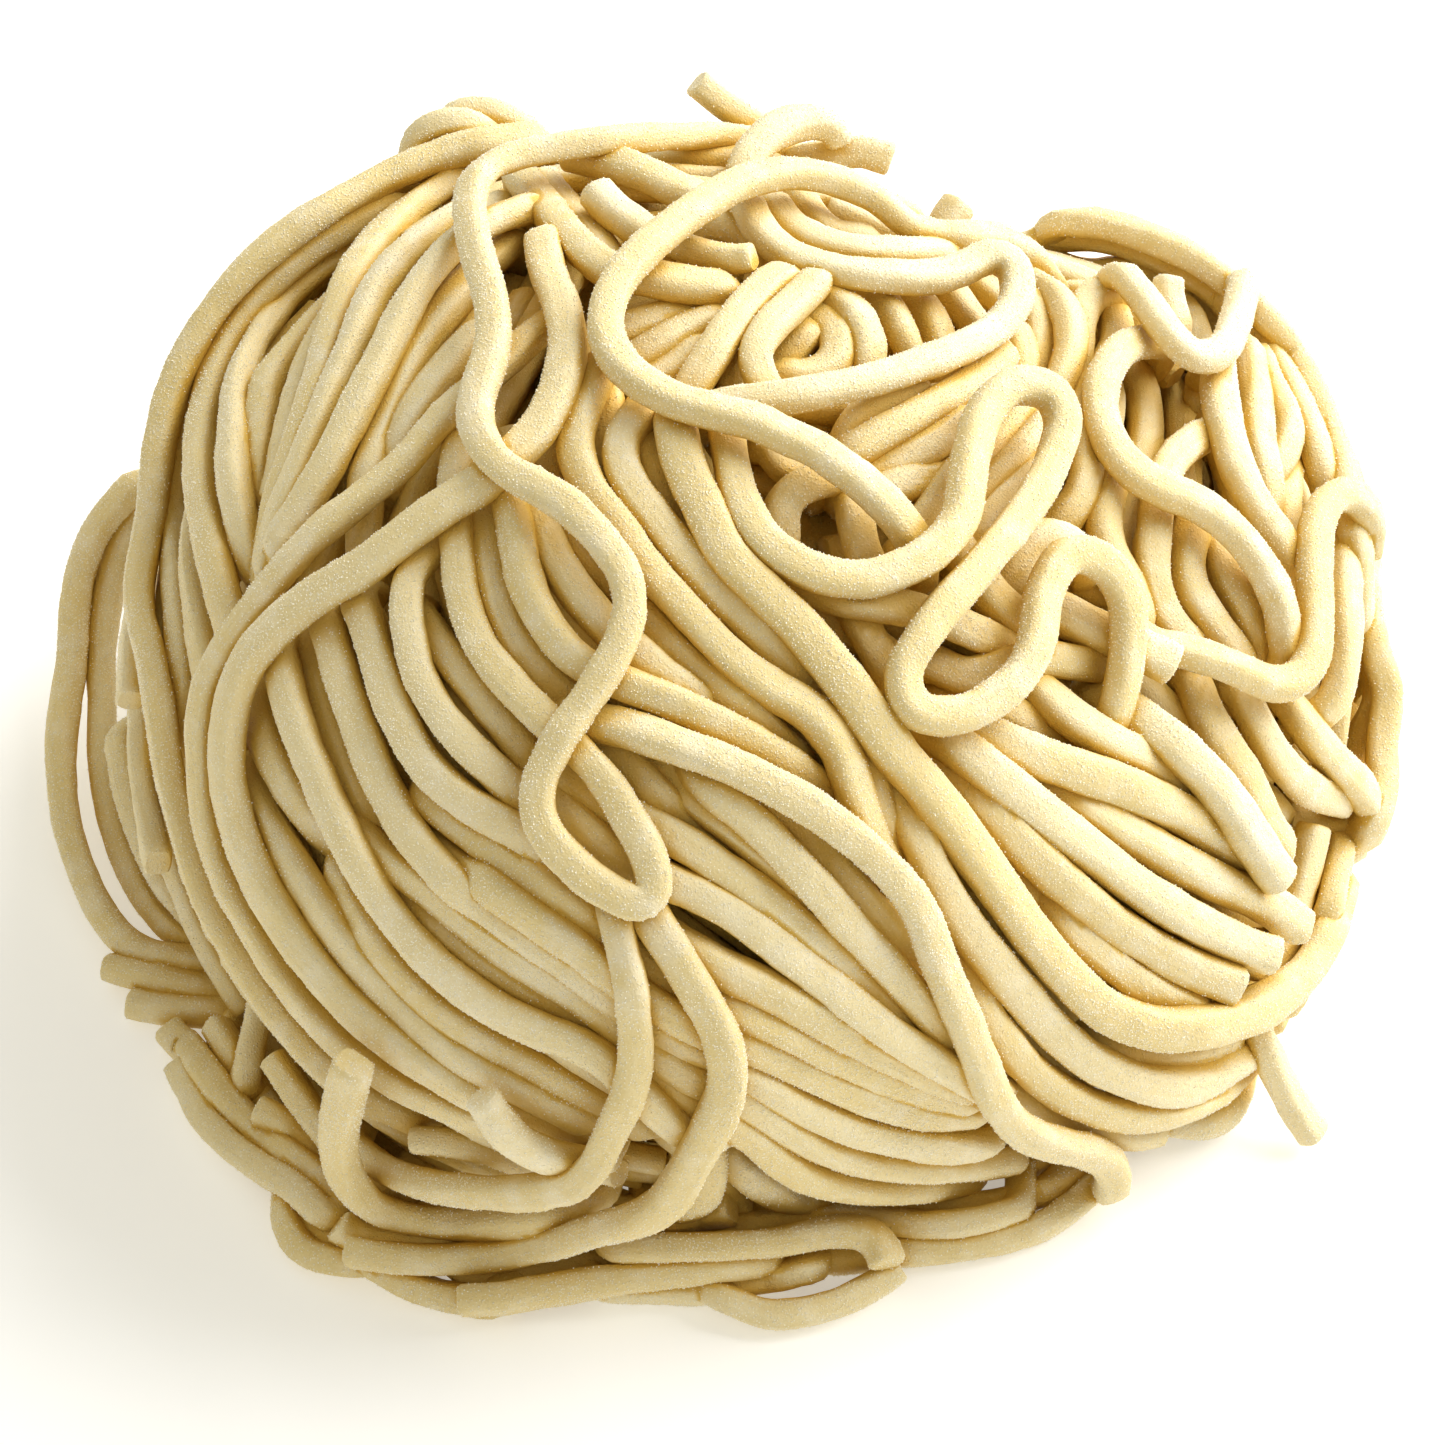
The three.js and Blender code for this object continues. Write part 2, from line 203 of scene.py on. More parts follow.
# The loose strand that turns back on itself, and the bundle that it lies on.
MIDDLE_ROUTES = (
    laid((0.3, -0.9, -0.9, -0.9, -0.9, -0.9, 0.2, 0.6), (6.5,43.2, 4.2,44.1, 2,44.8, -2,45.1, -6,45,
        -10,44.6, -14,44, -16.5,43.4, -18.5,42.3, -19.4,40.5, -19.3,38, -18.6,35, -17.8,32.5, -17.6,30,
        -18,27.5, -18.8,25.3, -19,23, -18,20.8, -16.5,19.3, -14,18, -11.5,16.4, -9.3,14, -7.6,11.5, -7.2,8,
        -9.2,3.6, -12.2,-0.7, -14.2,-5, -13.5,-8.6, -10,-12.2, -6.7,-13.9, -5.3,-13, -5.6,-10.5, -7.3,-7.3,
        -9.2,-4.3, -11.3,-2, -13.5,0.2, -16,2.6, -18.2,5.3, -19.5,8, -20.2,11, -20.4,14, -20.6,18,
        -20.2,21.5), girth=0.95),
    laid((0.6, 0.6, 0.6, 0.7, 1.2), (-14.3,16.8, -13.3,13.5, -11.9,11, -10.2,8.8, -8.4,6.8, -6.4,5.2,
        -4.6,3.7, -2.8,2.3, -1,0.9, 1,-0.4, 3,-1.9)),
    laid((0.8,), (-13,17, -11.3,14.4, -9.6,12, -8,10)),
    laid((1.3,), (-12.7,21, -13,18.5, -12.3,16)),
    laid((0, 0, 0, 0, 0.2, 0.6, 1.1), (-16.5,18, -15.8,14, -15.2,11, -14,8.3, -12.2,5.7, -9.8,4, -7,2.8,
        -4,1.6, -0.8,0.1, 2.3,-1.5, 5.2,-3.2, 8,-5.2, 10,-7), girth=0.96),
    laid((0, 0, 0, 0, 0, 0, 0, 0.7), (-3.6,22.8, -3.2,20.5, -2.4,18.4, -1.5,16.6, -0.6,14.6, 0.8,12.3,
        3.2,10, 5.5,7.8, 7.6,5.3, 9.6,2.8, 11.5,0, 13.5,-2.6, 15.6,-5, 17.5,-7.5, 19.3,-10, 21.2,-12.7,
        23.5,-16, 26,-19, 28.5,-21.5, 31,-22.9, 34,-23.6, 37,-23.3, 40,-22.5, 42.8,-21, 45,-19, 46.5,-16.3,
        47.4,-13), girth=1.2),
    laid((0.3,), (-9.3,27.5, -10.4,25.2, -11.2,22.8, -11.2,20.3, -10,17.6, -8,15, -6.2,12.4, -4.3,10.2,
        -2,7.8, 0,5.6, 2.6,3.4, 5,1.9, 7.2,0.4, 8.8,-1.6, 9.9,-4.3, 10.6,-7, 11.6,-9.4, 12.8,-11.6)),
    laid((0.6,), (-6.3,23.7, -7.7,21.8, -7.7,19.5, -6.5,17.3, -4.4,14.7, -2.2,12, -0.4,10, 1.6,8.2, 3.4,6.4,
        5.4,4.2, 7.4,1.6)),
    laid((0.9,), (-6,23.8, -5.6,21.5, -4.9,19, -3.9,16.8, -2.8,14.8)),
    laid((1,), (-9.2,26, -8.7,23.5, -9,21, -9,18.8, -7.5,16)),
    laid((0.9,), (-7,9.2, -5,7, -3.2,5, -1,3.2, 1.2,1.4, 3.4,-0.6, 5.5,-2.6)),
    laid((0.9,), (-18.2,17, -17.8,13, -17.3,10, -16.2,7, -14.2,4.2, -12,2, -9.8,0, -8.2,-2, -6.5,-3.8,
        -4.2,-6.2, -1.8,-8, 0.8,-10, 3.4,-12, 5.8,-14.3, 8,-16.7)),
    laid((0.6,), (-4.5,-3, -2.8,-5.2, -0.5,-7, 2,-9, 4.6,-11.2, 7,-13.4, 9.5,-16)),
    laid((0.3,), (-2,-3.8, 0,-5.8, 2.2,-7.5, 4.5,-9.8, 6.8,-12.2, 9,-14.8, 11.2,-17.2, 13.5,-19.6, 16,-22.3,
        18.4,-24.6, 20,-26)),
    laid((0.5,), (3.3,-5.8, 5.2,-7.4, 7.5,-9.8, 9.8,-12.3, 12,-15, 14,-17.8, 15.8,-20.5)),
    laid((0.4,), (-13.2,-2.6, -10.5,-5, -7.8,-6.9, -5,-8.2, -2.8,-9.4, 0,-11.2, 2.6,-13, 5,-14.9, 7.5,-17,
        10,-19.2, 12.5,-21.6, 15,-24, 17.5,-25.8, 20.6,-27.6)),
    laid((0.3,), (-13,-6, -10.5,-8.2, -8,-10.2, -4.8,-11.9, -2.3,-13, 0.2,-14.2, 2.6,-15.9, 5,-17.8,
        7.6,-19.8, 10.2,-21.8, 12.8,-23.9, 15.4,-25.5, 18,-26.8, 21,-28.3)),
    laid((0.2,), (-12,-9, -9.6,-11.6, -7.3,-13.8, -4.3,-16.3, -1.8,-18, 1,-19.4, 4,-20.8, 7,-22.4, 10,-24.1,
        13,-25.7, 16,-27, 19,-28)),
    laid((0.6,), (10,-0.5, 11.2,-4, 12.2,-7.5, 13.8,-10.8, 15.5,-13.5)),
)

# The strands that fall over the front, and the coils along its foot.
FRONT_ROUTES = (
    laid((0.2, -0.6, -0.7, -0.7, -0.7, -0.7, -0.7, -0.7, -0.7), (-11.8,0.6, -9.8,0, -6.7,-0.7, -3.1,-1.9,
        0.4,-3.2, 4,-5, 7.5,-7, 11,-9.7, 13.8,-12.5, 15.4,-15, 16.3,-17.5, 17.5,-20.5, 18.8,-23.5, 20,-26.5,
        21,-29, 22.7,-31.2, 25.3,-32.4, 28.3,-33, 30,-34.2, 29.9,-36)),
    laid((-0.6,), (-8.4,-14.5, -7.7,-17.5, -7,-20.5, -6.7,-24, -6.8,-27, -7.8,-30, -9,-32.4, -10,-34.3,
        -11.8,-35.6, -15,-36.2, -19,-36.1, -23,-35.5, -26,-34.3, -28.3,-32.6), girth=0.97),
    laid((-0.6,), (-5.5,-15, -3.6,-18, -1.8,-21, -0.2,-24, 0.4,-27, -0.3,-30, -1.8,-32.8, -3,-35,
        -4.3,-36.9, -6.5,-38.2, -9.5,-39, -13,-40, -17,-41, -21,-41.3, -25,-41.2,
        -28.8,-40.7), Ends.END, girth=1.06),
    laid((0.5,), (-1.2,-31.5, -0.9,-33.5, -1.2,-35.4, -2.2,-36.9, -4,-38)),
    laid((-2.6, -2, -0.8, -0.4, -0.4, -0.4), (-28.4,-26.2, -28.9,-28.3, -29.4,-30.5, -29.5,-32.8, -28.9,-35,
        -27.2,-37, -24.8,-38, -21.5,-38.6, -18,-38.6, -14,-38.2, -10.5,-37.5), Ends.START, girth=1.08),
    laid((-1.5, -1.2, -0.5, -0.4), (-18.5,-28.8, -17.4,-30.6, -16,-32.1, -14,-33.2, -11.8,-33.7,
        -9.7,-33.8), Ends.START),
    laid((0.6,), (-23.8,-32.1, -21,-32.3, -18,-32.9, -15.5,-33.8), Ends.START),
    laid((0.9,), (0.5,-33.6, 3,-35.4, 6,-36.9, 10,-37.8)),
    laid((0.4,), (10.5,-36.8, 14,-37.2, 18,-37.4, 22,-37, 25.2,-35.9, 27.6,-34.3)),
    laid((0.3,), (5,-41.8, 9,-41.3, 13,-40.9, 17,-40.5, 21,-39.9, 24.5,-38.8, 27.2,-37, 29,-34.8)),
    lying((5, 5, 4.9, 4.8, 4.6, 4.2), (-8,-40.6, -4,-40.4, 0,-40.3, 4,-40, 7.5,-39.3, 10.2,-39.1, 12,-40,
        12.7,-41.7), Ends.END),
    lying((1.4,), (13.6,-41.9, 12.2,-42.9, 9.5,-44.4, 6.5,-45.3, 3.5,-45.5, 0.8,-44.5,
        -1.5,-43), Ends.START),
    laid((1.2,), (-2.5,-33.6, -0.6,-34.9, 0.6,-36.3, 1.1,-38, 0.9,-39.6)),
    lying((2.2, 2.4, 2.8), (-20.3,-44.5, -17,-44.3, -13,-43.6, -9,-43, -5,-42.5, -1,-42,
        3,-41.4), Ends.START, girth=1.05),
    lying((1.3,), (-27,-41.4, -24.4,-43, -21.5,-44.1, -18,-44.8)),
    lying((1.3,), (-9,-43.6, -5,-43.6, -1,-43.5, 3,-42.9, 7,-41.8)),
    lying((1.3,), (-20,-42.3, -15,-42.1, -10,-41.6, -5,-41.2)),
    lying((4.4,), (-4.4,-38.2, -1.8,-37.7, 0.7,-37.3), Ends.END, girth=1.12),
    laid((1.1,), (2.6,-36.4, 3.2,-38, 2.8,-39.5)),
    laid((0.5,), (-11,-33.9, -9.3,-34.2, -7.9,-34.7), Ends.END),
    laid((0.6,), (-12,-36.6, -9.5,-37.3, -7,-37.4, -4.8,-37)),
    laid((0.5,), (-16,-37.2, -13.5,-37.9, -11,-38.7)),
    lying((3,), (-29,-31.5, -27,-34.2, -24,-36.3, -20,-37.3, -16,-37.2)),
    lying((2.4,), (-3,-38.6, 1,-38.8, 5,-38.6, 9,-38.2, 12.5,-38.4, 16,-38.7, 19.5,-38.4, 22.5,-37.6)),
)

# The coils and cut ends that lie beside the nest on the left, and two on the right.
FOOT_ROUTES = (
    lying((16, 10, 6, 4, 3, 2.4, 2), (-45.5,18, -48.3,14.5, -49.7,10, -50,5, -50.6,1, -50.9,-3, -50.4,-8,
        -49,-12, -47.3,-15.3, -45,-17.5, -42,-18.2, -38.5,-18.3)),
    lying((14, 8, 4, 2.5, 1.4, 1.3), (-44.5,18, -46.3,13.5, -47.4,9, -47.8,5, -47.7,1, -47.7,-3, -47,-7,
        -45.6,-11, -43.7,-14.5, -41.3,-16.5, -38.5,-17)),
    lying((8, 5.5, 4.4), (-46.2,-1.5, -45.7,-5, -44.5,-9, -42.8,-12.5, -40.7,-15)),
    lying((1.4,), (-47.3,-18.7, -44,-19.6, -41,-20.3, -38,-20.6), Ends.START),
    lying((1.3,), (-45.7,-21.5, -43,-22, -40,-22.3, -37,-22.2), Ends.START),
    lying((1.8, 1.8, 2.6, 3.4), (-42.7,-23.5, -40.7,-26, -38.7,-28.5, -36.7,-30.7, -34.4,-32.5, -31.5,-34.6,
        -29,-37.2), Ends.START, girth=1.12),
    lying((1.3, 1.3, 1.8, 2.8), (-41.6,-26.3, -40.9,-28, -39.7,-30.2, -37.9,-32.4, -35.6,-34.1, -33,-35.7,
        -30.6,-37.8), Ends.START, girth=1.08),
    lying((2.4, 2.2, 2), (-38.9,-23.3, -37.7,-25.3, -36.6,-27.4), Ends.START),
    lying((7, 4, 2.6), (-35.3,-21.3, -36.1,-24.5, -36.8,-27.8)),
    lying((7.5, 6.5, 5, 4), (-34.4,-25.7, -32.7,-28.4, -30.9,-31, -28.6,-33.6, -26,-35.6), Ends.START),
    lying((1.3,), (-32,-33.4, -33,-36, -33.2,-38.6, -32.1,-40.6, -29.8,-41.3, -26.5,-41.3)),
    lying((3.6,), (-35.8,-29.9, -33.6,-30.9, -31.2,-32.8, -28.6,-34.9, -25.5,-36.6), Ends.START),
    lying((1.3,), (-35.6,-21.6, -34.4,-24.2, -32.8,-26.9, -31,-29.2, -29,-32)),
    lying((1.3,), (-33.2,-34.6, -31.9,-37.2, -30.4,-39.4, -27.5,-40.8)),
    lying((1.3,), (-38.4,-25.2, -35.7,-28.6, -33.6,-31, -31.2,-33.3)),
    lying((1.3,), (-30.5,-30.6, -27.8,-31.7, -25.2,-32.9, -22,-34.4)),
    lying((3,), (-29.6,-38.6, -27.8,-39.8, -25,-40.1, -22,-40.2), Ends.START),
    lying((3, 2, 4), (33.5,-30.3, 36,-31, 38.2,-30.6, 39.6,-29, 40,-26.8, 41,-24.8)),
    lying((9, 5, 1.3), (41.2,-24, 42.4,-26.5, 43.8,-29.2, 45.6,-31.8), Ends.END),
)

# The loops and cut ends at the top.
CROWN_ROUTES = (
    laid((0.1, -0.2, -0.8, -0.8, -0.8, -0.8, -0.5), (25.4,33.4, 24.3,35.2, 22.5,36.5, 20,37.2, 17,37.4,
        14.3,38.2, 12,40.2, 9,41.6, 6,42.2, 3,42, 0,40.8, -3,38.8, -5.5,36.8, -7.5,34.7, -8.8,32.3, -9,30,
        -8,27.8, -6,26, -3.5,24.7, -1,24, 2,23.3, 5,22, 8,20.5, 12.2,17.2, 14,15.1, 15.5,12.8), girth=0.97),
    laid((0.2,), (-15.5,42, -13.5,39.5, -11.5,37, -9.5,35.3, -8,34.5, -6,34.3, -3,33.7, 0,33.3)),
    laid((0.4,), (-13.8,41.8, -12.3,39.8, -10.7,38, -9.3,36.3)),
    laid((0,), (-12,43.8, -9,43.2, -6,42.2, -3.5,41, -1.5,40.3), Ends.START),
    laid((0.3,), (-6.5,42.9, -3,43.4, 1,43.3, 3.5,43)),
    laid((0.4,), (-2.5,25.5, -1,28, 1,31, 3,33.3, 4.6,34.3)),
    laid((0.3,), (7.2,33.9, 5.4,32.1, 3.6,30.4, 2.5,28.5, 2.9,26.6, 3.9,25)),
    laid((0.5,), (8,33, 10,31.5, 11,29.5, 11.2,27)),
    laid((1,), (7.2,31.2, 8.8,29.5, 8.5,27.6, 6.6,26.6, 4.8,26.8)),
    laid((1.2,), (4.2,26.6, 5.2,28.4, 6.5,30)),
    laid((0.2,), (5.5,41, 6.8,39, 8.5,37.5, 11,37.2)),
    laid((0.4,), (-10,41, -8.5,39.5, -6.5,38, -5,37), Ends.START),
    laid((0.3,), (-4,37, -1.5,36, 1,35.6, 2.4,35.8), Ends.END),
    laid((0.9,), (-0.5,38.3, 1.8,37.8, 3.2,36.3, 3.1,34.5)),
    laid((1,), (-8,29.8, -6,30.6, -3.5,31.2, -0.5,31.4)),
    laid((1,), (-6.8,27.8, -4.8,29, -2.5,30.3, 0,31)),
    laid((1.1,), (-5.5,26.3, -3.5,27.3, -1.8,28.8)),
    laid((0.4, 0, -0.4, -0.4, -0.3, -0.2, 0.3), (1.9,39.8, 2.9,37.8, 4.8,36.1, 7,35.1, 9.5,34.6, 12,34.4,
        15,34.2, 17.8,34.6, 20,35.7, 21.8,35.7, 22.7,34, 22.3,31.8, 20.6,30, 17,28.2, 13,26.8, 10,26,
        6,25.2, 2,24.6, -1,24), girth=0.94),
    laid((0.4, 0, -0.1, 0.2), (3.9,39.8, 5.3,38, 7.5,36.9, 10,36.3, 13,36.1, 16,36.1, 19,36.7, 21.5,36.2)),
    laid((0.7,), (11,34, 12.8,31.8, 14,29.4, 14.6,27.8)),
    laid((0.8,), (13.8,34, 15.7,31.5, 16.8,29, 17,27)),
    laid((0.7,), (16.8,34, 18.5,31.8, 19.6,30.3)),
    laid((0.2,), (23.5,34, 25.4,32.9, 26.7,31, 26.8,28.6, 26.1,26.4, 25,24.5)),
    laid((0.6,), (27,33, 29.2,32.3, 30.3,30.5, 30,28.3, 28.5,26)),
    laid((0.4,), (22.4,30, 23,28, 22.6,26)),
    laid((0.6,), (24,32.5, 24.6,30.3, 24.3,28, 23.5,26)),
    laid((1.2, 0.6, 0.4, 0.6, 1), (-23.7,43.8, -23.3,45.2, -21.7,46.1, -19.9,46.1, -18.3,45.1, -17,43.9)),
    laid((1.4, 1, 1.2), (-20.5,46.8, -18.3,47.1, -16.3,46.2, -14.8,45)),
    laid((0,), (-2,49.3, 0,47.6, 2,46.3, 3.3,45.4), Ends.START),
    laid((-0.7,), (1.7,42.8, 2.6,44.3, 4.2,45.6, 6.3,46.2, 8.2,45.9, 9,44.6), Ends.END),
    laid((0, -0.2), (6,43.2, 8.3,43.6, 10.8,43.9, 13,43.3), Ends.END, girth=1.08),
    laid((0,), (16.8,37.5, 17.4,38.8, 18.3,40), Ends.END),
)

# The winding coil between the crown and the right side, and what shows between its turns.
HEART_ROUTES = (
    laid((0.6, -0.6, -1, -1, -1, -1, -0.9, -0.9, -0.7, 0.1), (0.2,23.6, 0.6,20.6, 1.4,16.9, 3.6,13.6,
        7.2,11.5, 11.5,11.1, 15.8,12.9, 18.3,15.8, 19,20.1, 20.1,23.7, 22.2,25.8, 25.1,25.5, 26.2,23,
        25.1,19.4, 23,15.8, 19.4,11.5, 15.8,7.2, 13.9,3.8, 14.9,0.9, 18.7,0.7, 22.2,2.9, 24,5.7, 24.8,10.1,
        26.6,12.9, 29.4,12.2, 31.1,9.3, 31.1,5, 30.4,1.5, 29.4,-1.2), girth=1.02),
    laid((0.5,), (5,11.2, 9,9.6, 13,9, 17,8, 20.5,6.4, 23.5,4.6)),
    laid((0.6,), (10,9, 11.5,6, 13,3.5)),
    laid((0.8,), (16.5,4.4, 19,3.6, 23.5,5, 27,4.6, 30,4.3)),
    laid((1.1, 0.8, 0.4, 0.2, 0.1), (23,9.8, 25.3,8.7, 27.5,7.7, 30,6.6, 32.2,5.7,
        34.7,4.4), Ends.END, girth=1.12),
    laid((0.3,), (18,13.5, 20,10.5, 22,8.5, 24.5,6.5)),
    laid((0.4,), (22.3,11.5, 23.3,13.6, 25,14.3, 26.7,13.5, 27.8,12.3)),
    laid((0.4,), (28.5,26, 27.8,23.5, 28.1,20.5, 27.7,17.8, 26.2,15.5)),
    laid((0.6,), (4.5,14.4, 4.5,16.4, 5.8,18, 8,18.8, 10.5,18.6)),
    laid((0.8,), (3.8,21, 4.9,19.5, 6.4,19.2)),
    laid((0.6,), (14.3,13.6, 15.8,15.8, 17.3,18.2, 18,20.5)),
    laid((0.8,), (9.3,20.8, 10.2,23, 12.5,24.6, 15,25.3)),
    laid((0.4,), (10,20.8, 13,22.6, 16.5,24.5, 20,26.6, 21.5,28.4)),
    laid((0.5,), (11.5,19.2, 14,20.2, 16.5,21.5, 18.5,23)),
    laid((0.6,), (12,17.8, 14.5,18.4, 17.2,18.6)),
    laid((0.9,), (23.2,24.3, 22,22, 20.8,19.8, 19.8,17.5)),
    laid((0.6,), (24.8,22.8, 23.3,20.9, 21.5,19, 20,17, 19,15)),
    laid((0.5,), (24.8,20, 23,18, 21,16, 19,13.5)),
    laid((0.8,), (10,17, 10.5,14, 11.5,11.5)),
)

# The upper right side.
SHOULDER_ROUTES = (
    laid((-1.2, -1.3, -1.3, -1.2, -1), (30.8,34.4, 32.4,32.6, 34,30.3, 35.6,28.6, 37.2,28, 38.6,28.8,
        39.5,31, 40.2,33.8), girth=0.93),
    laid((0.4, -0.3, -0.5, -0.6, -0.6, -0.6, -0.6, -0.6, -0.6), (33.8,29.3, 31.6,29.2, 30,28, 29.1,25.8,
        29.2,23.2, 30.2,20.9, 31.9,19.1, 34.2,17.8, 36.6,16.8, 38.8,15.2, 40.6,13.2, 42,11, 43,8.5,
        43.3,5.5)),
    laid((-0.3,), (34.3,34.3, 34.3,32.5, 34.9,30.7), Ends.START, girth=0.9),
    laid((0.6,), (36.2,33.5, 37.6,31.7, 38.6,30)),
    laid((0.1,), (38.2,27.5, 38.2,25, 38.8,22, 39.7,19.3, 41,16.8, 42.6,14.4, 44,12)),
    laid((0.3,), (40.6,28.6, 41,25.5, 41.1,22.5, 41.6,19.5, 42,17)),
    laid((0.4,), (41.5,28, 42.4,25.6, 43.6,23, 43,20.5, 41.8,19)),
    laid((0.3,), (24.4,37.2, 26.5,37.3, 29.5,37.2, 33,36, 36.2,34.4, 38.8,32.3, 41.3,29.6, 43.3,26.6, 45,23,
        46.3,19, 47,15)),
    laid((0,), (26,38.4, 29,38.4, 33,37.2, 36.5,35.5, 39.5,33.3, 42.3,30.5, 44.4,27.4, 46.3,23.5, 47.7,19.5,
        48.4,16, 48.9,12, 49,8)),
    laid((0.9,), (24.8,35.7, 28,34.6, 31.5,34.8, 34.5,34, 37.3,31.8, 40,28.6, 42,25.5)),
    laid((-0.3, -0.5, -0.5, -0.4, -0.2), (31.5,7, 33.3,5.8, 35,5.6, 37.5,4.9, 40,3.9, 42.6,2.9, 44.6,3.7,
        45.5,6, 45.6,9.5, 45.5,12.5, 45.7,15.2, 46.6,17.1, 48.1,17.6, 49.3,16.6, 49.8,14.8,
        49.6,13), Ends.END),
    laid((0,), (44.8,0, 46.6,1.2, 47.6,3.2, 47.9,6, 47.9,9, 47.9,12, 48,14.6)),
    laid((0.1,), (49.4,13, 49.6,9, 50.2,5.5, 51.1,3, 51,0.5, 50.7,-2, 50.6,-5, 49.5,-8.3), girth=1.1),
    laid((0.5,), (48.8,6, 50,4.4, 50.4,2, 49.4,-0.5, 48.4,-2.8)),
    laid((1,), (28.2,19.5, 27.6,16.5, 27.9,14)),
    laid((1, 0.6, 0.5, 0.5, 0.5, 0.5), (38.4,22.7, 36.3,21.7, 34.5,20, 33.6,17.8, 33.2,15, 33,12, 33.3,9.8,
        34.3,7.7, 35.8,6)),
    laid((0.4,), (36.3,15.2, 35.6,12.5, 36,10.3, 37.3,8.2, 39,6, 40,4.5)),
    laid((0.4,), (37.8,15.5, 38,13.3, 39,11, 40.3,8.7, 41.3,6.3, 42.2,4.3)),
    laid((1,), (39.3,14.5, 40.8,11.5, 42.2,8)),
    laid((0.5,), (30.3,20, 29.6,17.5, 29.3,15, 30,12.8, 31.3,10.5, 32.2,8)),
    laid((0.8,), (36,3.3, 37.8,-0.5, 40,-4, 42,-8, 43,-9.5)),
    laid((0.4,), (39.8,2.4, 41.5,-0.8, 43.4,-3.6, 45.6,-5.4, 47.8,-6)),
    laid((0.3,), (43.8,1.2, 46,-1.8, 48.4,-4.4, 50.3,-7)),
    laid((0.7,), (44.2,-7.6, 46.5,-8.3, 48.6,-7.3)),
    laid((0.9,), (44,-9.3, 46.5,-10, 48.5,-9.5)),
    laid((0.8,), (43.6,13, 43.2,16.5, 43.4,20, 44.3,23)),
    laid((1,), (34.8,32.8, 36.2,30.8, 36.9,28.4, 36.9,25.8)),
    laid((0.6,), (26.9,25.5, 27.2,29, 27.8,31.9, 29.3,33.2, 31,32.2, 31.7,29.8)),
)

# The lower right side.
FLANK_ROUTES = (
    laid((-0.2,), (30.3,1.6, 33,-0.4, 36,-2.9, 38.3,-5.4, 40.2,-8.2, 41.8,-10.6,
        43,-12.3), Ends.END, girth=1.15),
    laid((0.1,), (17.5,-0.4, 20,-1, 23,-2.2, 26,-3.3, 30,-4.6, 33,-5.9, 36,-7.4, 39,-9.3,
        41.5,-11), girth=1.15),
    laid((0.2,), (24.3,2.6, 26.8,0.4, 29.5,-1.3, 32.3,-2.7, 35,-4.2, 37.2,-5.7)),
    laid((0.1,), (17.5,-1.5, 20,-3.4, 22.5,-5.4, 25,-7.4, 28,-9.7, 31,-12, 34,-14, 37,-15.7, 40,-17.1,
        42.4,-18), Ends.END, girth=1.13),
    laid((0.2,), (23.5,-4, 27,-5.9, 30,-7.8, 33,-9.6, 36,-11.3, 39,-12.7, 42,-14,
        44.6,-15.9), Ends.END, girth=1.12),
    laid((0.4,), (17,-3, 19,-5.3, 21.5,-7.9, 24,-10.3, 27,-13, 30,-15.4, 33,-17.3, 36,-18.9,
        39.6,-20.3), Ends.END, girth=1.15),
    laid((1.4, 0.7, 0.5, 0.4, 0.4), (22,-9.5, 24.5,-13, 27,-16, 30,-18.6, 33,-20.6, 36,-21.8), girth=1.08),
    laid((1.1,), (16,-1.5, 18,-5, 20,-8, 22,-11.2, 24.5,-14.8, 27,-18.3)),
    laid((1,), (33,-7, 36,-9.3, 39.5,-10.8, 42,-12.6)),
    laid((0.9, 0.5, 0.3, 0.3, 0.3), (10.5,1, 12,-2.5, 13.4,-5.7, 14.8,-8.7, 16.3,-11.8, 18.1,-14.8,
        20.3,-17.8, 23,-21, 25.5,-23.7, 28,-25.8, 30.7,-27.2, 33.7,-28, 37,-27.6, 40,-25.8), girth=1.12),
    laid((0.3,), (17.8,-17.5, 19.3,-21, 21.3,-24.2, 24,-27, 27,-29, 30.5,-30.1, 34,-30, 37.3,-28.8,
        39.7,-26.5, 41,-24), girth=1.08),
    laid((1,), (17.5,-15, 19,-18.5, 21,-22, 23.5,-25, 26.5,-27.5)),
    laid((0.6,), (22.3,-27.8, 25,-29.8, 28,-31, 31,-31.9, 33,-31.6)),
    laid((0.7,), (27,-23.7, 29.5,-25.2, 32.5,-25.9, 36,-25.8, 39,-24.6)),
    laid((0.6,), (44.5,-11, 46,-14, 46.3,-17)),
    laid((0.5,), (47.5,-10, 46.8,-14, 45.5,-18, 43.5,-21.5)),
    laid((1.4,), (17,2.2, 20,1.6, 22.8,0.4, 25.5,-1.2, 28.5,-3)),
)

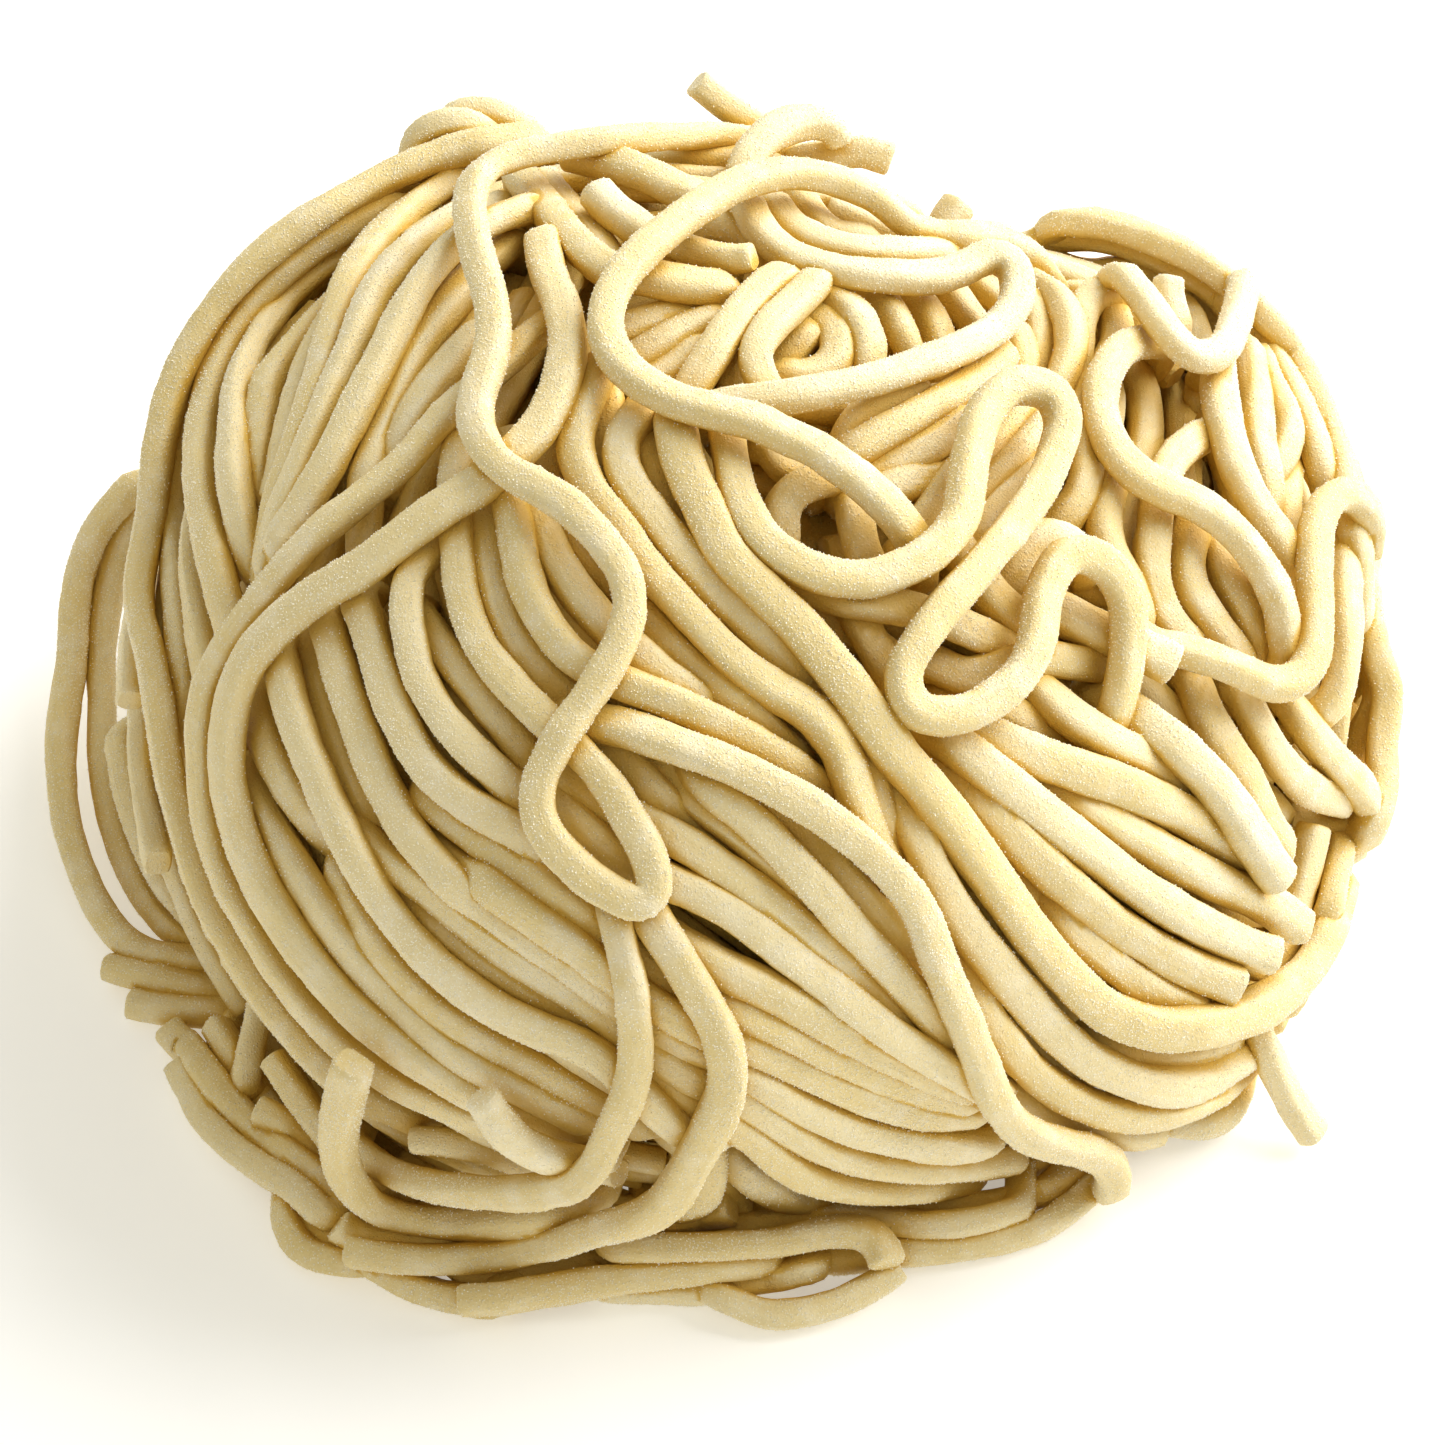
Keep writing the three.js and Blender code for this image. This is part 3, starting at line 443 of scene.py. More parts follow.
# The strands that run round the back.
BACK_ROUTES = (
    wound((0.1,), (-45,13,20, -38,26,24, -28,36,22, -15,42,19, 0,43,18, 16,40,17, 30,33,17, 41,24,15,
        49,12,12), girth=1.05),
    wound((0.2,), (-46,8,12, -42,20,10, -33,32,8, -20,40,6.5, -4,44,6, 12,43,6, 28,37,6, 40,27,6)),
    wound((0, -0.5, -0.7, -0.7, -0.6, -0.3), (-38,21,27, -31,29,31, -22,36,29, -11,40,26, 1,41,22, 11,39,22,
        16,37,23.5, 11,38,27.5, 4,39,31)),
    wound((0.2, -0.8, -0.9, -0.6, 0), (3,39,31, 11,38.5,26.5, 20,36.5,22.5, 26,36,18, 22,40.5,12, 12,43,9,
        2,44,11, -4,43,17, -3,41,24), girth=0.95),
    wound((0.2, -0.3, -0.4, -0.4, 0.2), (-29,27,31, -22,33,32, -13,37,33, -3,39,31, 6,40,27,
        13,39,26), girth=0.95),
    wound((0.3, -0.3, -0.3, 0.2), (45,17,17, 40,26,22, 33,33,20, 21,39,14, 8,42.6,13)),
    wound((-0.2,), (-13,40,28, -20,38,24, -24,37,16, -19,40.6,10, -10,43,9), girth=1.05),
    wound((0.2, -0.7, -0.8, -0.8), (-38,23,14, -33,30,20, -26,35,25, -20,38,28, -17,38,33), Ends.END),
    wound((), (-24,34,5, -27,38,2.4, -21,43.5,1.5, -8,47.6,1.3, 7,48.2,1.3, 21,45,1.3, 31,39,2.4, 35,32,6)),
    wound((), (30,35,5, 36,35,2, 40,31.5,1.3, 42,27,1.3, 41.5,22,3.4)),
    wound((), (-34,27,5, -38,28,2, -40.5,24.5,1.3, -41.5,19.5,1.3), Ends.END),
    wound((0, -0.6, -0.8), (3,41,22, 12,39.8,21, 19,37.5,21, 25,35,22), Ends.END, girth=0.95),
)

ROUTES = {
    "rim": RIM_ROUTES,
    "sweep": SWEEP_ROUTES,
    "middle": MIDDLE_ROUTES,
    "front": FRONT_ROUTES,
    "foot": FOOT_ROUTES,
    "crown": CROWN_ROUTES,
    "heart": HEART_ROUTES,
    "shoulder": SHOULDER_ROUTES,
    "flank": FLANK_ROUTES,
    "round": BACK_ROUTES,
}


def unit(vectors: Array) -> Array:
    """Returns vectors scaled to length one.

    Args:
        vectors: One vector, or one in each row.

    Returns:
        The scaled vectors, in the same layout.
    """
    return vectors / np.maximum(np.linalg.norm(vectors, axis=-1, keepdims=True), 1e-9)


def spread(values: Sequence[float], fractions: Array) -> Array:
    """Returns values spread evenly over 0 to 1 and read at fractions."""
    return np.interp(fractions, np.linspace(0.0, 1.0, len(values)), values)


def smooth_run(points: Array, parts: int) -> Array:
    """Returns a smooth line through points, each span cut in equal parts.

    Args:
        points: The points that the line passes through, one in each row.
        parts: How many parts each span is cut into.

    Returns:
        The points of the smooth line, one in each row.
    """
    if len(points) < 3:
        share = np.linspace(0.0, 1.0, parts + 1)[:, None]
        return points[0] * (1 - share) + points[-1] * share
    padded = np.vstack([2 * points[0] - points[1], points, 2 * points[-1] - points[-2]])
    before, start, end, after = padded[:-3], padded[1:-2], padded[2:-1], padded[3:]
    curve = 2 * before - 5 * start + 4 * end - after
    swerve = 3 * start - before - 3 * end + after
    spans = [
        0.5 * (2 * start + (end - before) * t + curve * t**2 + swerve * t**3)
        for t in np.arange(parts) / parts
    ]
    return np.vstack([np.stack(spans, axis=1).reshape(-1, points.shape[1]), points[-1]])


def even_run(points: Array, step: float) -> tuple[Array, Array]:
    """Returns points along a line at even steps.

    Args:
        points: The line, one point in each row.
        step: The wanted distance between points.

    Returns:
        The even points, and how far along the line each is, from 0 to 1.
    """
    along = np.concatenate([[0.0], np.cumsum(np.linalg.norm(np.diff(points, axis=0), axis=1))])
    count = max(int(round(along[-1] / step)), 2) + 1
    wanted = np.linspace(0.0, along[-1], count)
    return np.stack([np.interp(wanted, along, column) for column in points.T], axis=1), wanted / along[-1]


def relaxed(values: Array, rounds: int) -> Array:
    """Returns values with each one drawn to the mean of its neighbours.

    Args:
        values: The values along a line, one in each row.
        rounds: How many times over they are drawn.

    Returns:
        The new values.
    """
    result = values.copy()
    for _ in range(rounds):
        padded = np.concatenate([result[:1], result, result[-1:]])
        result = 0.25 * padded[:-2] + 0.5 * padded[1:-1] + 0.25 * padded[2:]
    return result


def facing(line: Array, outward: Array, calm: int = 14) -> Array:
    """Returns the side of a strand that faces out, square to its line all the way along.

    Args:
        line: The strand's line, one point in each row.
        outward: The direction out of the heap at each point.
        calm: How many times over the turns between points are evened out.

    Returns:
        A unit direction at each point.
    """
    along = unit(np.gradient(line, axis=0))
    square = outward - (outward * along).sum(axis=1, keepdims=True) * along
    square = relaxed(square, calm)
    return unit(square - (square * along).sum(axis=1, keepdims=True) * along)


def with_blunt_ends(line: Array, reach: float = 0.22) -> Array:
    """Returns a line with one more point just short of each end, where a strand starts to round off.

    Args:
        line: The line, one point in each row.
        reach: How far from each end the new point is.

    Returns:
        The new line.
    """
    first = line[0] + unit(line[1] - line[0]) * reach
    last = line[-1] + unit(line[-2] - line[-1]) * reach
    return np.vstack([line[:1], first, line[1:-1], last, line[-1:]])


def placed(name: str, data: bpy.types.ID) -> bpy.types.Object:
    """Puts an object in the scene.

    Args:
        name: Its name.
        data: The mesh, light or camera that it shows.

    Returns:
        The object.
    """
    made = bpy.data.objects.new(name, data)
    bpy.context.scene.collection.objects.link(made)
    return made


def discard(piece: bpy.types.Object) -> None:
    """Removes an object and its mesh."""
    bpy.data.batch_remove([piece, piece.data])


@dataclass(frozen=True)
class Lobe:
    """One rounded lump of the heap."""

    centre: Triple
    radii: Triple


@dataclass(frozen=True)
class Heap:
    """The nest's overall form: lumps that run softly into each other, cut off flat by the table.

    Its reach is measured from the hub, by guesses that close in on it.
    """

    lobes: tuple[Lobe, ...] = (
        Lobe((-4.5, -2.0, 20.0), (41.5, 46.0, 38.0)),
        Lobe((23.0, 7.0, 17.0), (29.0, 34.0, 26.0)),
        Lobe((19.0, -15.0, 12.0), (27.0, 26.0, 22.0)),
    )
    blend: float = 9.0
    hub: Triple = (4.0, 2.0, 12.0)
    nudge: float = 0.05
    first_guess: float = 30.0
    guesses: int = 40
    pace: float = 0.8

    def distance(self, points: Array) -> Array:
        """Returns how far points are outside the heap.

        Args:
            points: The points, with x, y and z along the last axis.

        Returns:
            The distances, below nought inside.
        """
        total = None
        for lobe in self.lobes:
            scaled = (points - np.array(lobe.centre)) / np.array(lobe.radii)
            length = np.linalg.norm(scaled, axis=-1)
            slope = np.maximum(np.linalg.norm(scaled / np.array(lobe.radii), axis=-1), 1e-9)
            one = length * (length - 1.0) / slope
            if total is None:
                total = one
            else:
                share = np.maximum(self.blend - np.abs(total - one), 0.0) / self.blend
                total = np.minimum(total, one) - share * share * self.blend / 4
        return np.maximum(total, -points[..., 2])

    def level_and_outward(self, points: Array) -> tuple[Array, Array]:
        """Returns how far points are outside the heap, and the direction that leads straight out.

        Args:
            points: The points, one in each row.

        Returns:
            The distances, and a unit direction for each point.
        """
        shifted = points[:, None, :] + np.vstack([np.zeros(3), np.eye(3) * self.nudge])[None]
        levels = self.distance(shifted)
        return levels[:, 0], unit((levels[:, 1:] - levels[:, :1]) / self.nudge)

    def reach(self, directions: Array, level: float) -> Array:
        """Returns how far the heap reaches from its hub along each direction.

        Args:
            directions: Unit directions, one in each row.
            level: How far outside the outline to go, below nought for inside it.

        Returns:
            The distance from the hub along each direction.
        """
        reach = np.full(len(directions), self.first_guess)
        hub = np.array(self.hub)
        for _ in range(self.guesses):
            reach -= self.pace * (self.distance(hub + directions * reach[:, None]) - level)
        return reach


@dataclass(frozen=True)
class Eye:
    """Where the nest is seen from: above the table on the near side, level with the table's edge."""

    elevation: float = 50.0
    distance: float = 480.0
    aim: Triple = (0.0, 0.0, 12.5)
    span: float = 111.15
    sensor: float = 36.0
    clip: tuple[float, float] = (0.01, 20.0)

    @property
    def right(self) -> Array:
        """Returns the direction to the right of the view."""
        return np.array([1.0, 0.0, 0.0])

    @property
    def up(self) -> Array:
        """Returns the direction up the view."""
        turn = math.radians(self.elevation)
        return np.array([0.0, math.sin(turn), math.cos(turn)])

    @property
    def back(self) -> Array:
        """Returns the direction from the nest to the eye."""
        turn = math.radians(self.elevation)
        return np.array([0.0, -math.cos(turn), math.sin(turn)])

    @property
    def place(self) -> Array:
        """Returns where the eye is."""
        return np.array(self.aim) + self.distance * self.back

    def rays(self, places: Array) -> Array:
        """Returns the directions from the eye through places in the view plane.

        Args:
            places: x and y in the plane through the aim that faces the eye, one place in each row.

        Returns:
            A unit direction for each place.
        """
        across = places[:, :1] * self.right + places[:, 1:] * self.up
        return unit(across - self.distance * self.back)

    def camera(self) -> bpy.types.Object:
        """Makes the scene's camera.

        Returns:
            The camera, at the eye and turned to the aim.
        """
        lens = bpy.data.cameras.new("camera")
        lens.sensor_fit, lens.sensor_width = "HORIZONTAL", self.sensor
        lens.lens = self.sensor * self.distance / self.span
        lens.clip_start, lens.clip_end = self.clip
        camera = placed("camera", lens)
        camera.location = Vector(self.place * METRES)
        camera.rotation_euler = (math.radians(90.0 - self.elevation), 0.0, 0.0)
        bpy.context.scene.camera = camera
        return camera


@dataclass
class Strand:
    """One strand of dough as a line of points an even step apart.

    held marks the points that keep to their ray from the eye, sight and goal are those rays and how far
    along them each point belongs, and level is how far outside the heap's outline the other points belong.
    grip is how firmly a point keeps to its place. tail marks ends out of sight, which push nothing away.
    """

    group: str
    points: Array
    held: Array
    sight: Array
    goal: Array
    level: Array
    grip: Array
    tail: Array
    girth: float = 1.0


@dataclass(frozen=True)
class Weaver:
    """Lays routes on the heap as strands.

    Each ray is searched for the heap from near to far. Hidden ends duck under their neighbours and dive on.
    """

    eye: Eye
    heap: Heap
    near: float = 420.0
    far: float = 560.0
    sample: float = 0.7
    outside: float = 1000.0
    parts: int = 8
    calm: int = 6
    duck: float = 0.8
    duck_reach: float = 4.5
    tail_steps: int = 4
    tail_dive: float = 1.5
    tail_grip: float = 0.30
    wound_rounds: int = 12
    wound_pace: float = 0.8
    wound_calm: int = 4
    wound_grip: float = 0.12

    def depths(self, rays: Array, offsets: Array) -> Array:
        """Returns how far along each ray its strand lies on the heap.

        A ray that misses stops where it comes closest, and further on the deeper its strand runs.

        Args:
            rays: Unit directions from the eye.
            offsets: How far inside the heap's outline each strand runs.

        Returns:
            The distance from the eye along each ray.
        """
        steps = np.arange(self.near, self.far, self.sample)
        points = self.eye.place + rays[:, None, :] * steps[None, :, None]
        levels = self.heap.distance(points) + offsets[:, None]
        levels[points[..., 2] < TABLE_REST] = self.outside
        inside = levels < 0
        hit = inside.any(axis=1)
        first = np.maximum(inside.argmax(axis=1), 1)
        rows = np.arange(len(rays))
        before, after = levels[rows, first - 1], levels[rows, first]
        crossing = steps[first - 1] + self.sample * before / np.maximum(before - after, 1e-6)
        return np.where(hit, crossing, steps[levels.argmin(axis=1)] + offsets - STRAND / 2)

    def ducked(self, route: Route, share: Array, length: float) -> Array:
        """Returns how many strands deep a route runs, with its hidden ends drawn in under their neighbours.

        Args:
            route: The route.
            share: How far along it each point is, from 0 to 1.
            length: The route's length.

        Returns:
            The number of strands at each point.
        """
        layers = spread(route.layers, share)
        for from_end, shown in ((share, Ends.START), (1.0 - share, Ends.END)):
            if route.ends is not shown:
                near = np.clip(1.0 - from_end * length / self.duck_reach, 0.0, 1.0)
                layers = layers + self.duck * near * near * (3.0 - 2.0 * near)
        return layers

    def lay(self, group: str, route: Route) -> Strand:
        """Returns the strand that follows a route.

        Args:
            group: The group of strands that it belongs to.
            route: Its course.

        Returns:
            The strand, with its hidden ends run on into the heap.
        """
        if route.spots:
            return self.wind(group, route)
        corners = np.array(route.places).reshape(-1, 2)
        places, share = even_run(smooth_run(corners, self.parts), STEP)
        rays = self.eye.rays(places)
        if route.heights:
            drop = spread(route.heights, share) - self.eye.place[2]
            along = drop / rays[:, 2]
        else:
            layers = self.ducked(route, share, len(share) * STEP)
            along = relaxed(self.depths(rays, STRAND / 2 + LAYER * layers), self.calm)
        points = self.eye.place + rays * along[:, None]
        blank = np.zeros(len(points))
        held = np.ones(len(points), bool)
        strand = Strand(group, points, held, rays, along, blank, blank, ~held, route.girth)
        self.run_on_both(strand, route.ends)
        return strand

    def wind(self, group: str, route: Route) -> Strand:
        """Returns the strand of a route that is given by its spots.

        Args:
            group: The group of strands that it belongs to.
            route: Its course.

        Returns:
            The strand, with its hidden ends run on into the heap.
        """
        points, share = even_run(smooth_run(np.array(route.spots).reshape(-1, 3), self.parts), STEP)
        if route.layers:
            wanted = -STRAND / 2 - LAYER * self.ducked(route, share, len(share) * STEP)
            for _ in range(self.wound_rounds):
                level, outward = self.heap.level_and_outward(points)
                points = points - self.wound_pace * outward * (level - wanted)[:, None]
            points, _ = even_run(relaxed(points, self.wound_calm), STEP)
        points[:, 2] = np.maximum(points[:, 2], TABLE_REST)
        blank = np.zeros(len(points))
        strand = Strand(group, points, blank > 0, np.zeros((len(points), 3)), blank,
                        self.heap.distance(points), blank + self.wound_grip, blank > 0, route.girth)
        self.run_on_both(strand, route.ends)
        return strand

    def run_on_both(self, strand: Strand, ends: Ends) -> None:
        """Runs each end of a strand on into the heap, unless it is a cut end that shows.

        Args:
            strand: The strand, which is changed.
            ends: Which of its ends show.
        """
        if ends is not Ends.START:
            self.run_on(strand, at_start=True)
        if ends is not Ends.END:
            self.run_on(strand, at_start=False)

    def run_on(self, strand: Strand, at_start: bool) -> None:
        """Runs one end of a strand on into the heap, under its neighbours.

        Args:
            strand: The strand, which is changed.
            at_start: Whether the end is the first one.
        """
        points = strand.points[::-1] if at_start else strand.points
        heading = unit(points[-1] - points[-3])
        away = strand.sight[0 if at_start else -1]
        tail = [points[-1]]
        for _ in range(self.tail_steps):
            _, outward = self.heap.level_and_outward(tail[-1][None])
            inward = away - outward[0]
            inward[2] = min(inward[2], 0.0)
            heading = unit(heading + self.tail_dive * unit(inward))
            new = tail[-1] + heading * STEP
            new[2] = max(new[2], TABLE_REST)
            tail.append(new)
        extra = np.array(tail[1:])
        loose = {
            "points": extra,
            "held": np.zeros(len(extra), bool),
            "sight": np.zeros((len(extra), 3)),
            "goal": np.zeros(len(extra)),
            "level": self.heap.distance(extra),
            "grip": np.full(len(extra), self.tail_grip),
            "tail": np.ones(len(extra), bool),
        }
        for name, values in loose.items():
            known = getattr(strand, name)
            setattr(strand, name, np.concatenate([values[::-1], known] if at_start else [known, values]))


@dataclass(frozen=True)
class FillLayer:
    """One layer of filling strands."""

    name: str
    level: float
    spacing: float
    side: Side
    swing: float
    seed: int
    dusting: float = 0.3
    shortest: float = 14.0
    longest: float = 150.0


@dataclass
class Flow:
    """The way that strands run: with their neighbours where there are any, and otherwise round the nest.

    Neighbours within reach count less the further off they are. On their way round, strands fall a little.
    """

    heap: Heap
    known: KDTree
    directions: Array
    reach: float = 10.0
    fade: float = 4.0
    fall: float = 4.0
    wave: float = 13.0
    plain_share: float = 0.25
    turning: float = 0.35

    @classmethod
    def around(cls, heap: Heap, strands: Iterable[Strand]) -> "Flow":
        """Returns the flow set by strands that are laid already.

        Args:
            heap: The nest's form.
            strands: The strands.

        Returns:
            The flow.
        """
        points, directions = [], []
        for strand in strands:
            points.append(strand.points[~strand.tail])
            directions.append(unit(np.gradient(strand.points, axis=0))[~strand.tail])
        places = np.vstack(points)
        known = KDTree(len(places))
        for index, place in enumerate(places):
            known.insert(place, index)
        known.balance()
        return cls(heap, known, np.vstack(directions))

    def at(self, point: Array, outward: Array, swing: float, phase: float, heading: Array | None) -> Array:
        """Returns the direction that a strand takes at a point.

        Args:
            point: The point.
            outward: The direction straight out of the heap there.
            swing: How far strands swing from the plain course, in radians.
            phase: A number that sets where they swing.
            heading: The direction so far, which the result agrees with, or None.

        Returns:
            A unit direction along the heap's surface.
        """
        round_about = np.array([-(point[1] - self.heap.hub[1]), point[0] - self.heap.hub[0], 0.0])
        plain = unit(round_about + np.array([0.0, 0.0, -self.fall]))
        x, y, z = point / self.wave
        across = math.sin(x + 1.3 * phase + 0.7 * math.sin(y + phase))
        turn = swing * (across + math.sin(1.1 * y - z + 2.1 * phase))
        plain = plain * math.cos(turn) + np.cross(outward, plain) * math.sin(turn)
        total = self.plain_share * plain
        for _, index, gap in self.known.find_range(point, self.reach):
            near = self.directions[index]
            weight = math.exp(-0.5 * (gap / self.fade) ** 2)
            total = total + near * (math.copysign(1.0, near @ plain) * weight)
        total = unit(total)
        if heading is not None:
            if total @ heading < 0:
                total = -total
            total = total * self.turning + heading * (1.0 - self.turning)
        return unit(total - outward * (total @ outward))


@dataclass
class Filler:
    """Fills the heap with evenly spaced strands that follow the flow.

    cells hold the points that are taken. Strands away from the eye keep clear of the dip.
    """

    heap: Heap
    flow: Flow
    eye: Eye
    dip: Triple = (17.5, 34.0, 35.0)
    dip_size: float = 8.0
    steepest: float = -0.7
    starts: int = 5200
    closeness: float = 0.8
    girths: tuple[float, float] = (0.92, 1.06)
    cells: dict[tuple[int, int, int], list[Array]] = field(default_factory=dict)
    cell: float = 2.7

    def remember(self, points: Array) -> None:
        """Notes points as taken."""
        for point in points:
            self.cells.setdefault(tuple((point // self.cell).astype(int)), []).append(point)

    def taken(self, point: Array, gap: float) -> bool:
        """Returns whether another strand comes closer to a point than gap.

        Args:
            point: The point.
            gap: The least distance allowed, no more than one cell.

        Returns:
            True when the place is taken.
        """
        across, along, up = (int(number) for number in point // self.cell)
        for shift in itertools.product((-1, 0, 1), repeat=3):
            for other in self.cells.get((across + shift[0], along + shift[1], up + shift[2]), ()):
                x, y, z = other[0] - point[0], other[1] - point[1], other[2] - point[2]
                if x**2 + y**2 + z**2 < gap * gap:
                    return True
        return False

    def allowed(self, point: Array, outward: Array, side: Side) -> bool:
        """Returns whether a layer may run through a point.

        Args:
            point: The point.
            outward: The direction straight out of the heap there.
            side: The part of the heap that the layer covers.

        Returns:
            True when it may.
        """
        if side is Side.EVERYWHERE:
            return outward[2] > self.steepest
        clear = float(np.linalg.norm(point - np.array(self.dip))) > self.dip_size
        return clear and float(outward @ unit(self.eye.place - point)) < 0.0

    def run(self, start: Array, layer: FillLayer, forward: bool) -> list[Array]:
        """Returns the points of a strand that sets out from a start.

        Args:
            start: The first point, which is left out of the result.
            layer: The layer that the strand belongs to.
            forward: Whether it sets out with the flow or against it.

        Returns:
            The points, an even step apart.
        """
        points: list[Array] = []
        point, heading = start, None
        while len(points) * STEP < layer.longest / 2:
            _, outward = self.heap.level_and_outward(point[None])
            heading = self.flow.at(point, outward[0], layer.swing, layer.seed, heading)
            if not points and not forward:
                heading = -heading
            moved = point + heading * STEP
            level, outward = self.heap.level_and_outward(moved[None])
            moved = moved - outward[0] * (level[0] - layer.level)
            moved[2] = max(moved[2], TABLE_REST)
            if not self.allowed(moved, outward[0], layer.side):
                break
            if self.taken(moved, self.closeness * layer.spacing):
                break
            points.append(moved)
            point = moved
        return points

    def fill(self, layer: FillLayer, obstacles: Iterable[Array]) -> list[Strand]:
        """Returns the strands of one layer.

        Args:
            layer: The layer.
            obstacles: Lines of points that it keeps clear of.

        Returns:
            The strands.
        """
        self.cells.clear()
        for points in obstacles:
            self.remember(points)
        random = np.random.default_rng(layer.seed)
        turns = np.arange(self.starts) * math.pi * GOLDEN_TURN
        heights = 1.0 - 2.0 * (np.arange(self.starts) + 0.5) / self.starts
        flat = np.sqrt(1.0 - heights**2)
        directions = np.stack([flat * np.cos(turns), flat * np.sin(turns), heights], axis=1)
        seeds = np.array(self.heap.hub) + directions * self.heap.reach(directions, layer.level)[:, None]
        _, outwards = self.heap.level_and_outward(seeds)
        strands = []
        for index in random.permutation(self.starts):
            seed = seeds[index]
            if not self.allowed(seed, outwards[index], layer.side) or self.taken(seed, layer.spacing):
                continue
            line = self.run(seed, layer, False)[::-1] + [seed] + self.run(seed, layer, True)
            if len(line) * STEP < layer.shortest:
                continue
            points = np.array(line)
            self.remember(points)
            blank = np.zeros(len(points))
            strands.append(Strand(layer.name, points, blank > 0, np.zeros((len(points), 3)), blank,
                                  np.full(len(points), layer.level), blank, blank > 0,
                                  float(random.uniform(*self.girths))))
        return strands


@dataclass(frozen=True)
class Settling:
    """Lets strands push each other apart until they only touch.

    contact is how far apart the lines of touching strands are. hold keeps points to their rays, and pull to
    their places along them. stiffness keeps strands smooth, and tension their points evenly spaced.
    """

    eye: Eye
    heap: Heap
    contact: float = 2.22
    reach: float = 3.4
    neighbours: int = 4
    rounds: int = 90
    quick_rounds: int = 24
    search_every: int = 6
    eagerness: float = 1.3
    stiffness: float = 0.22
    firmness: float = 0.65
    hold: float = 0.35
    pull: float = 0.03
    level_every: int = 3
    level_pull: float = 0.12
    tension: float = 0.15

    def pairs(self, points: Array, owner: Array, order: Array, tail: Array) -> tuple[Array, Array]:
        """Returns the pairs of points that are near each other on different stretches of strand.

        Args:
            points: All the points.
            owner: The number of the strand that each belongs to.
            order: Its place along the strand.
            tail: Whether it belongs to a hidden end, which pairs with nothing.

        Returns:
            Two lists of point numbers.
        """
        wide = 4096
        middle = 256
        cell = np.floor(points / self.reach).astype(np.int64) + middle
        key = (cell[:, 0] * wide + cell[:, 1]) * wide + cell[:, 2]
        ranked = np.argsort(key, kind="stable")
        sorted_key = key[ranked]
        firsts, seconds = [], []
        numbers = np.arange(len(points))
        for x, y, z in itertools.product((-1, 0, 1), repeat=3):
            if (x, y, z) < (0, 0, 0):
                continue
            target = key + (x * wide + y) * wide + z
            low = np.searchsorted(sorted_key, target, "left")
            counts = np.searchsorted(sorted_key, target, "right") - low
            first = np.repeat(numbers, counts)
            inner = np.arange(counts.sum()) - np.repeat(np.cumsum(counts) - counts, counts)
            second = ranked[np.repeat(low, counts) + inner]
            if (x, y, z) == (0, 0, 0):
                keep = first < second
                first, second = first[keep], second[keep]
            firsts.append(first)
            seconds.append(second)
        first, second = np.concatenate(firsts), np.concatenate(seconds)
        apart = (owner[first] != owner[second]) | (np.abs(order[first] - order[second]) > self.neighbours)
        near = ((points[first] - points[second]) ** 2).sum(axis=1) < self.reach**2
        keep = apart & near & ~tail[first] & ~tail[second]
        return first[keep], second[keep]

    def settle(self, strands: Sequence[Strand], rounds: int) -> None:
        """Moves the points of strands until they lie against each other.

        Args:
            strands: The strands, which are changed.
            rounds: How many times everything is moved a little.
        """
        points, held, sight, goal, level, grip, tail = (
            np.concatenate([getattr(strand, name) for strand in strands])
            for name in ("points", "held", "sight", "goal", "level", "grip", "tail")
        )
        grip = grip[:, None]
        home = points.copy()
        lengths = [len(strand.points) for strand in strands]
        owner = np.repeat(np.arange(len(strands)), lengths)
        order = np.concatenate([np.arange(length) for length in lengths])
        girth = np.repeat([strand.girth for strand in strands], lengths)
        count = len(points)
        inner = np.flatnonzero((owner[1:-1] == owner[:-2]) & (owner[1:-1] == owner[2:])) + 1
        links = np.flatnonzero(owner[1:] == owner[:-1])
        loose = np.flatnonzero(~held)
        place = self.eye.place
        for step in range(rounds):
            if step % self.search_every == 0:
                first, second = self.pairs(points, owner, order, tail)
                room = self.contact * 0.5 * (girth[first] + girth[second])
            apart = points[first] - points[second]
            gap = np.maximum(np.linalg.norm(apart, axis=1), 1e-6)
            overlap = np.maximum(room - gap, 0.0)
            push = apart * (0.5 * overlap / gap)[:, None]
            touching = overlap > 0
            met = np.bincount(first[touching], minlength=count)
            met = met + np.bincount(second[touching], minlength=count)
            move = np.stack([
                np.bincount(first, axis, count) - np.bincount(second, axis, count) for axis in push.T
            ], axis=1) * (self.eagerness / np.maximum(met, 1))[:, None]
            bend = np.zeros_like(points)
            bend[inner] = 0.5 * (points[inner - 1] + points[inner + 1]) - points[inner]
            move += self.stiffness * bend
            sideways = move - (move * sight).sum(axis=1, keepdims=True) * sight
            move[held] -= self.firmness * sideways[held]
            points += move
            points += grip * (home - points)
            offset = points[held] - place
            along = (offset * sight[held]).sum(axis=1)
            on_ray = sight[held] * along[:, None]
            points[held] = place + offset - self.hold * (offset - on_ray)
            points[held] += sight[held] * (self.pull * (goal[held] - along))[:, None]
            if step % self.level_every == 0:
                now, outward = self.heap.level_and_outward(points[loose])
                points[loose] -= outward * (self.level_pull * (now - level[loose]))[:, None]
            stretch = points[links + 1] - points[links]
            length = np.maximum(np.linalg.norm(stretch, axis=1), 1e-6)
            slack = stretch * (self.tension * (length - STEP) / length)[:, None]
            slack[held[links] | held[links + 1]] = 0.0
            points[links] += slack
            points[links + 1] -= slack
            points[:, 2] = np.maximum(points[:, 2], TABLE_REST * girth)
        start = 0
        for strand, length in zip(strands, lengths):
            strand.points = points[start:start + length]
            start += length


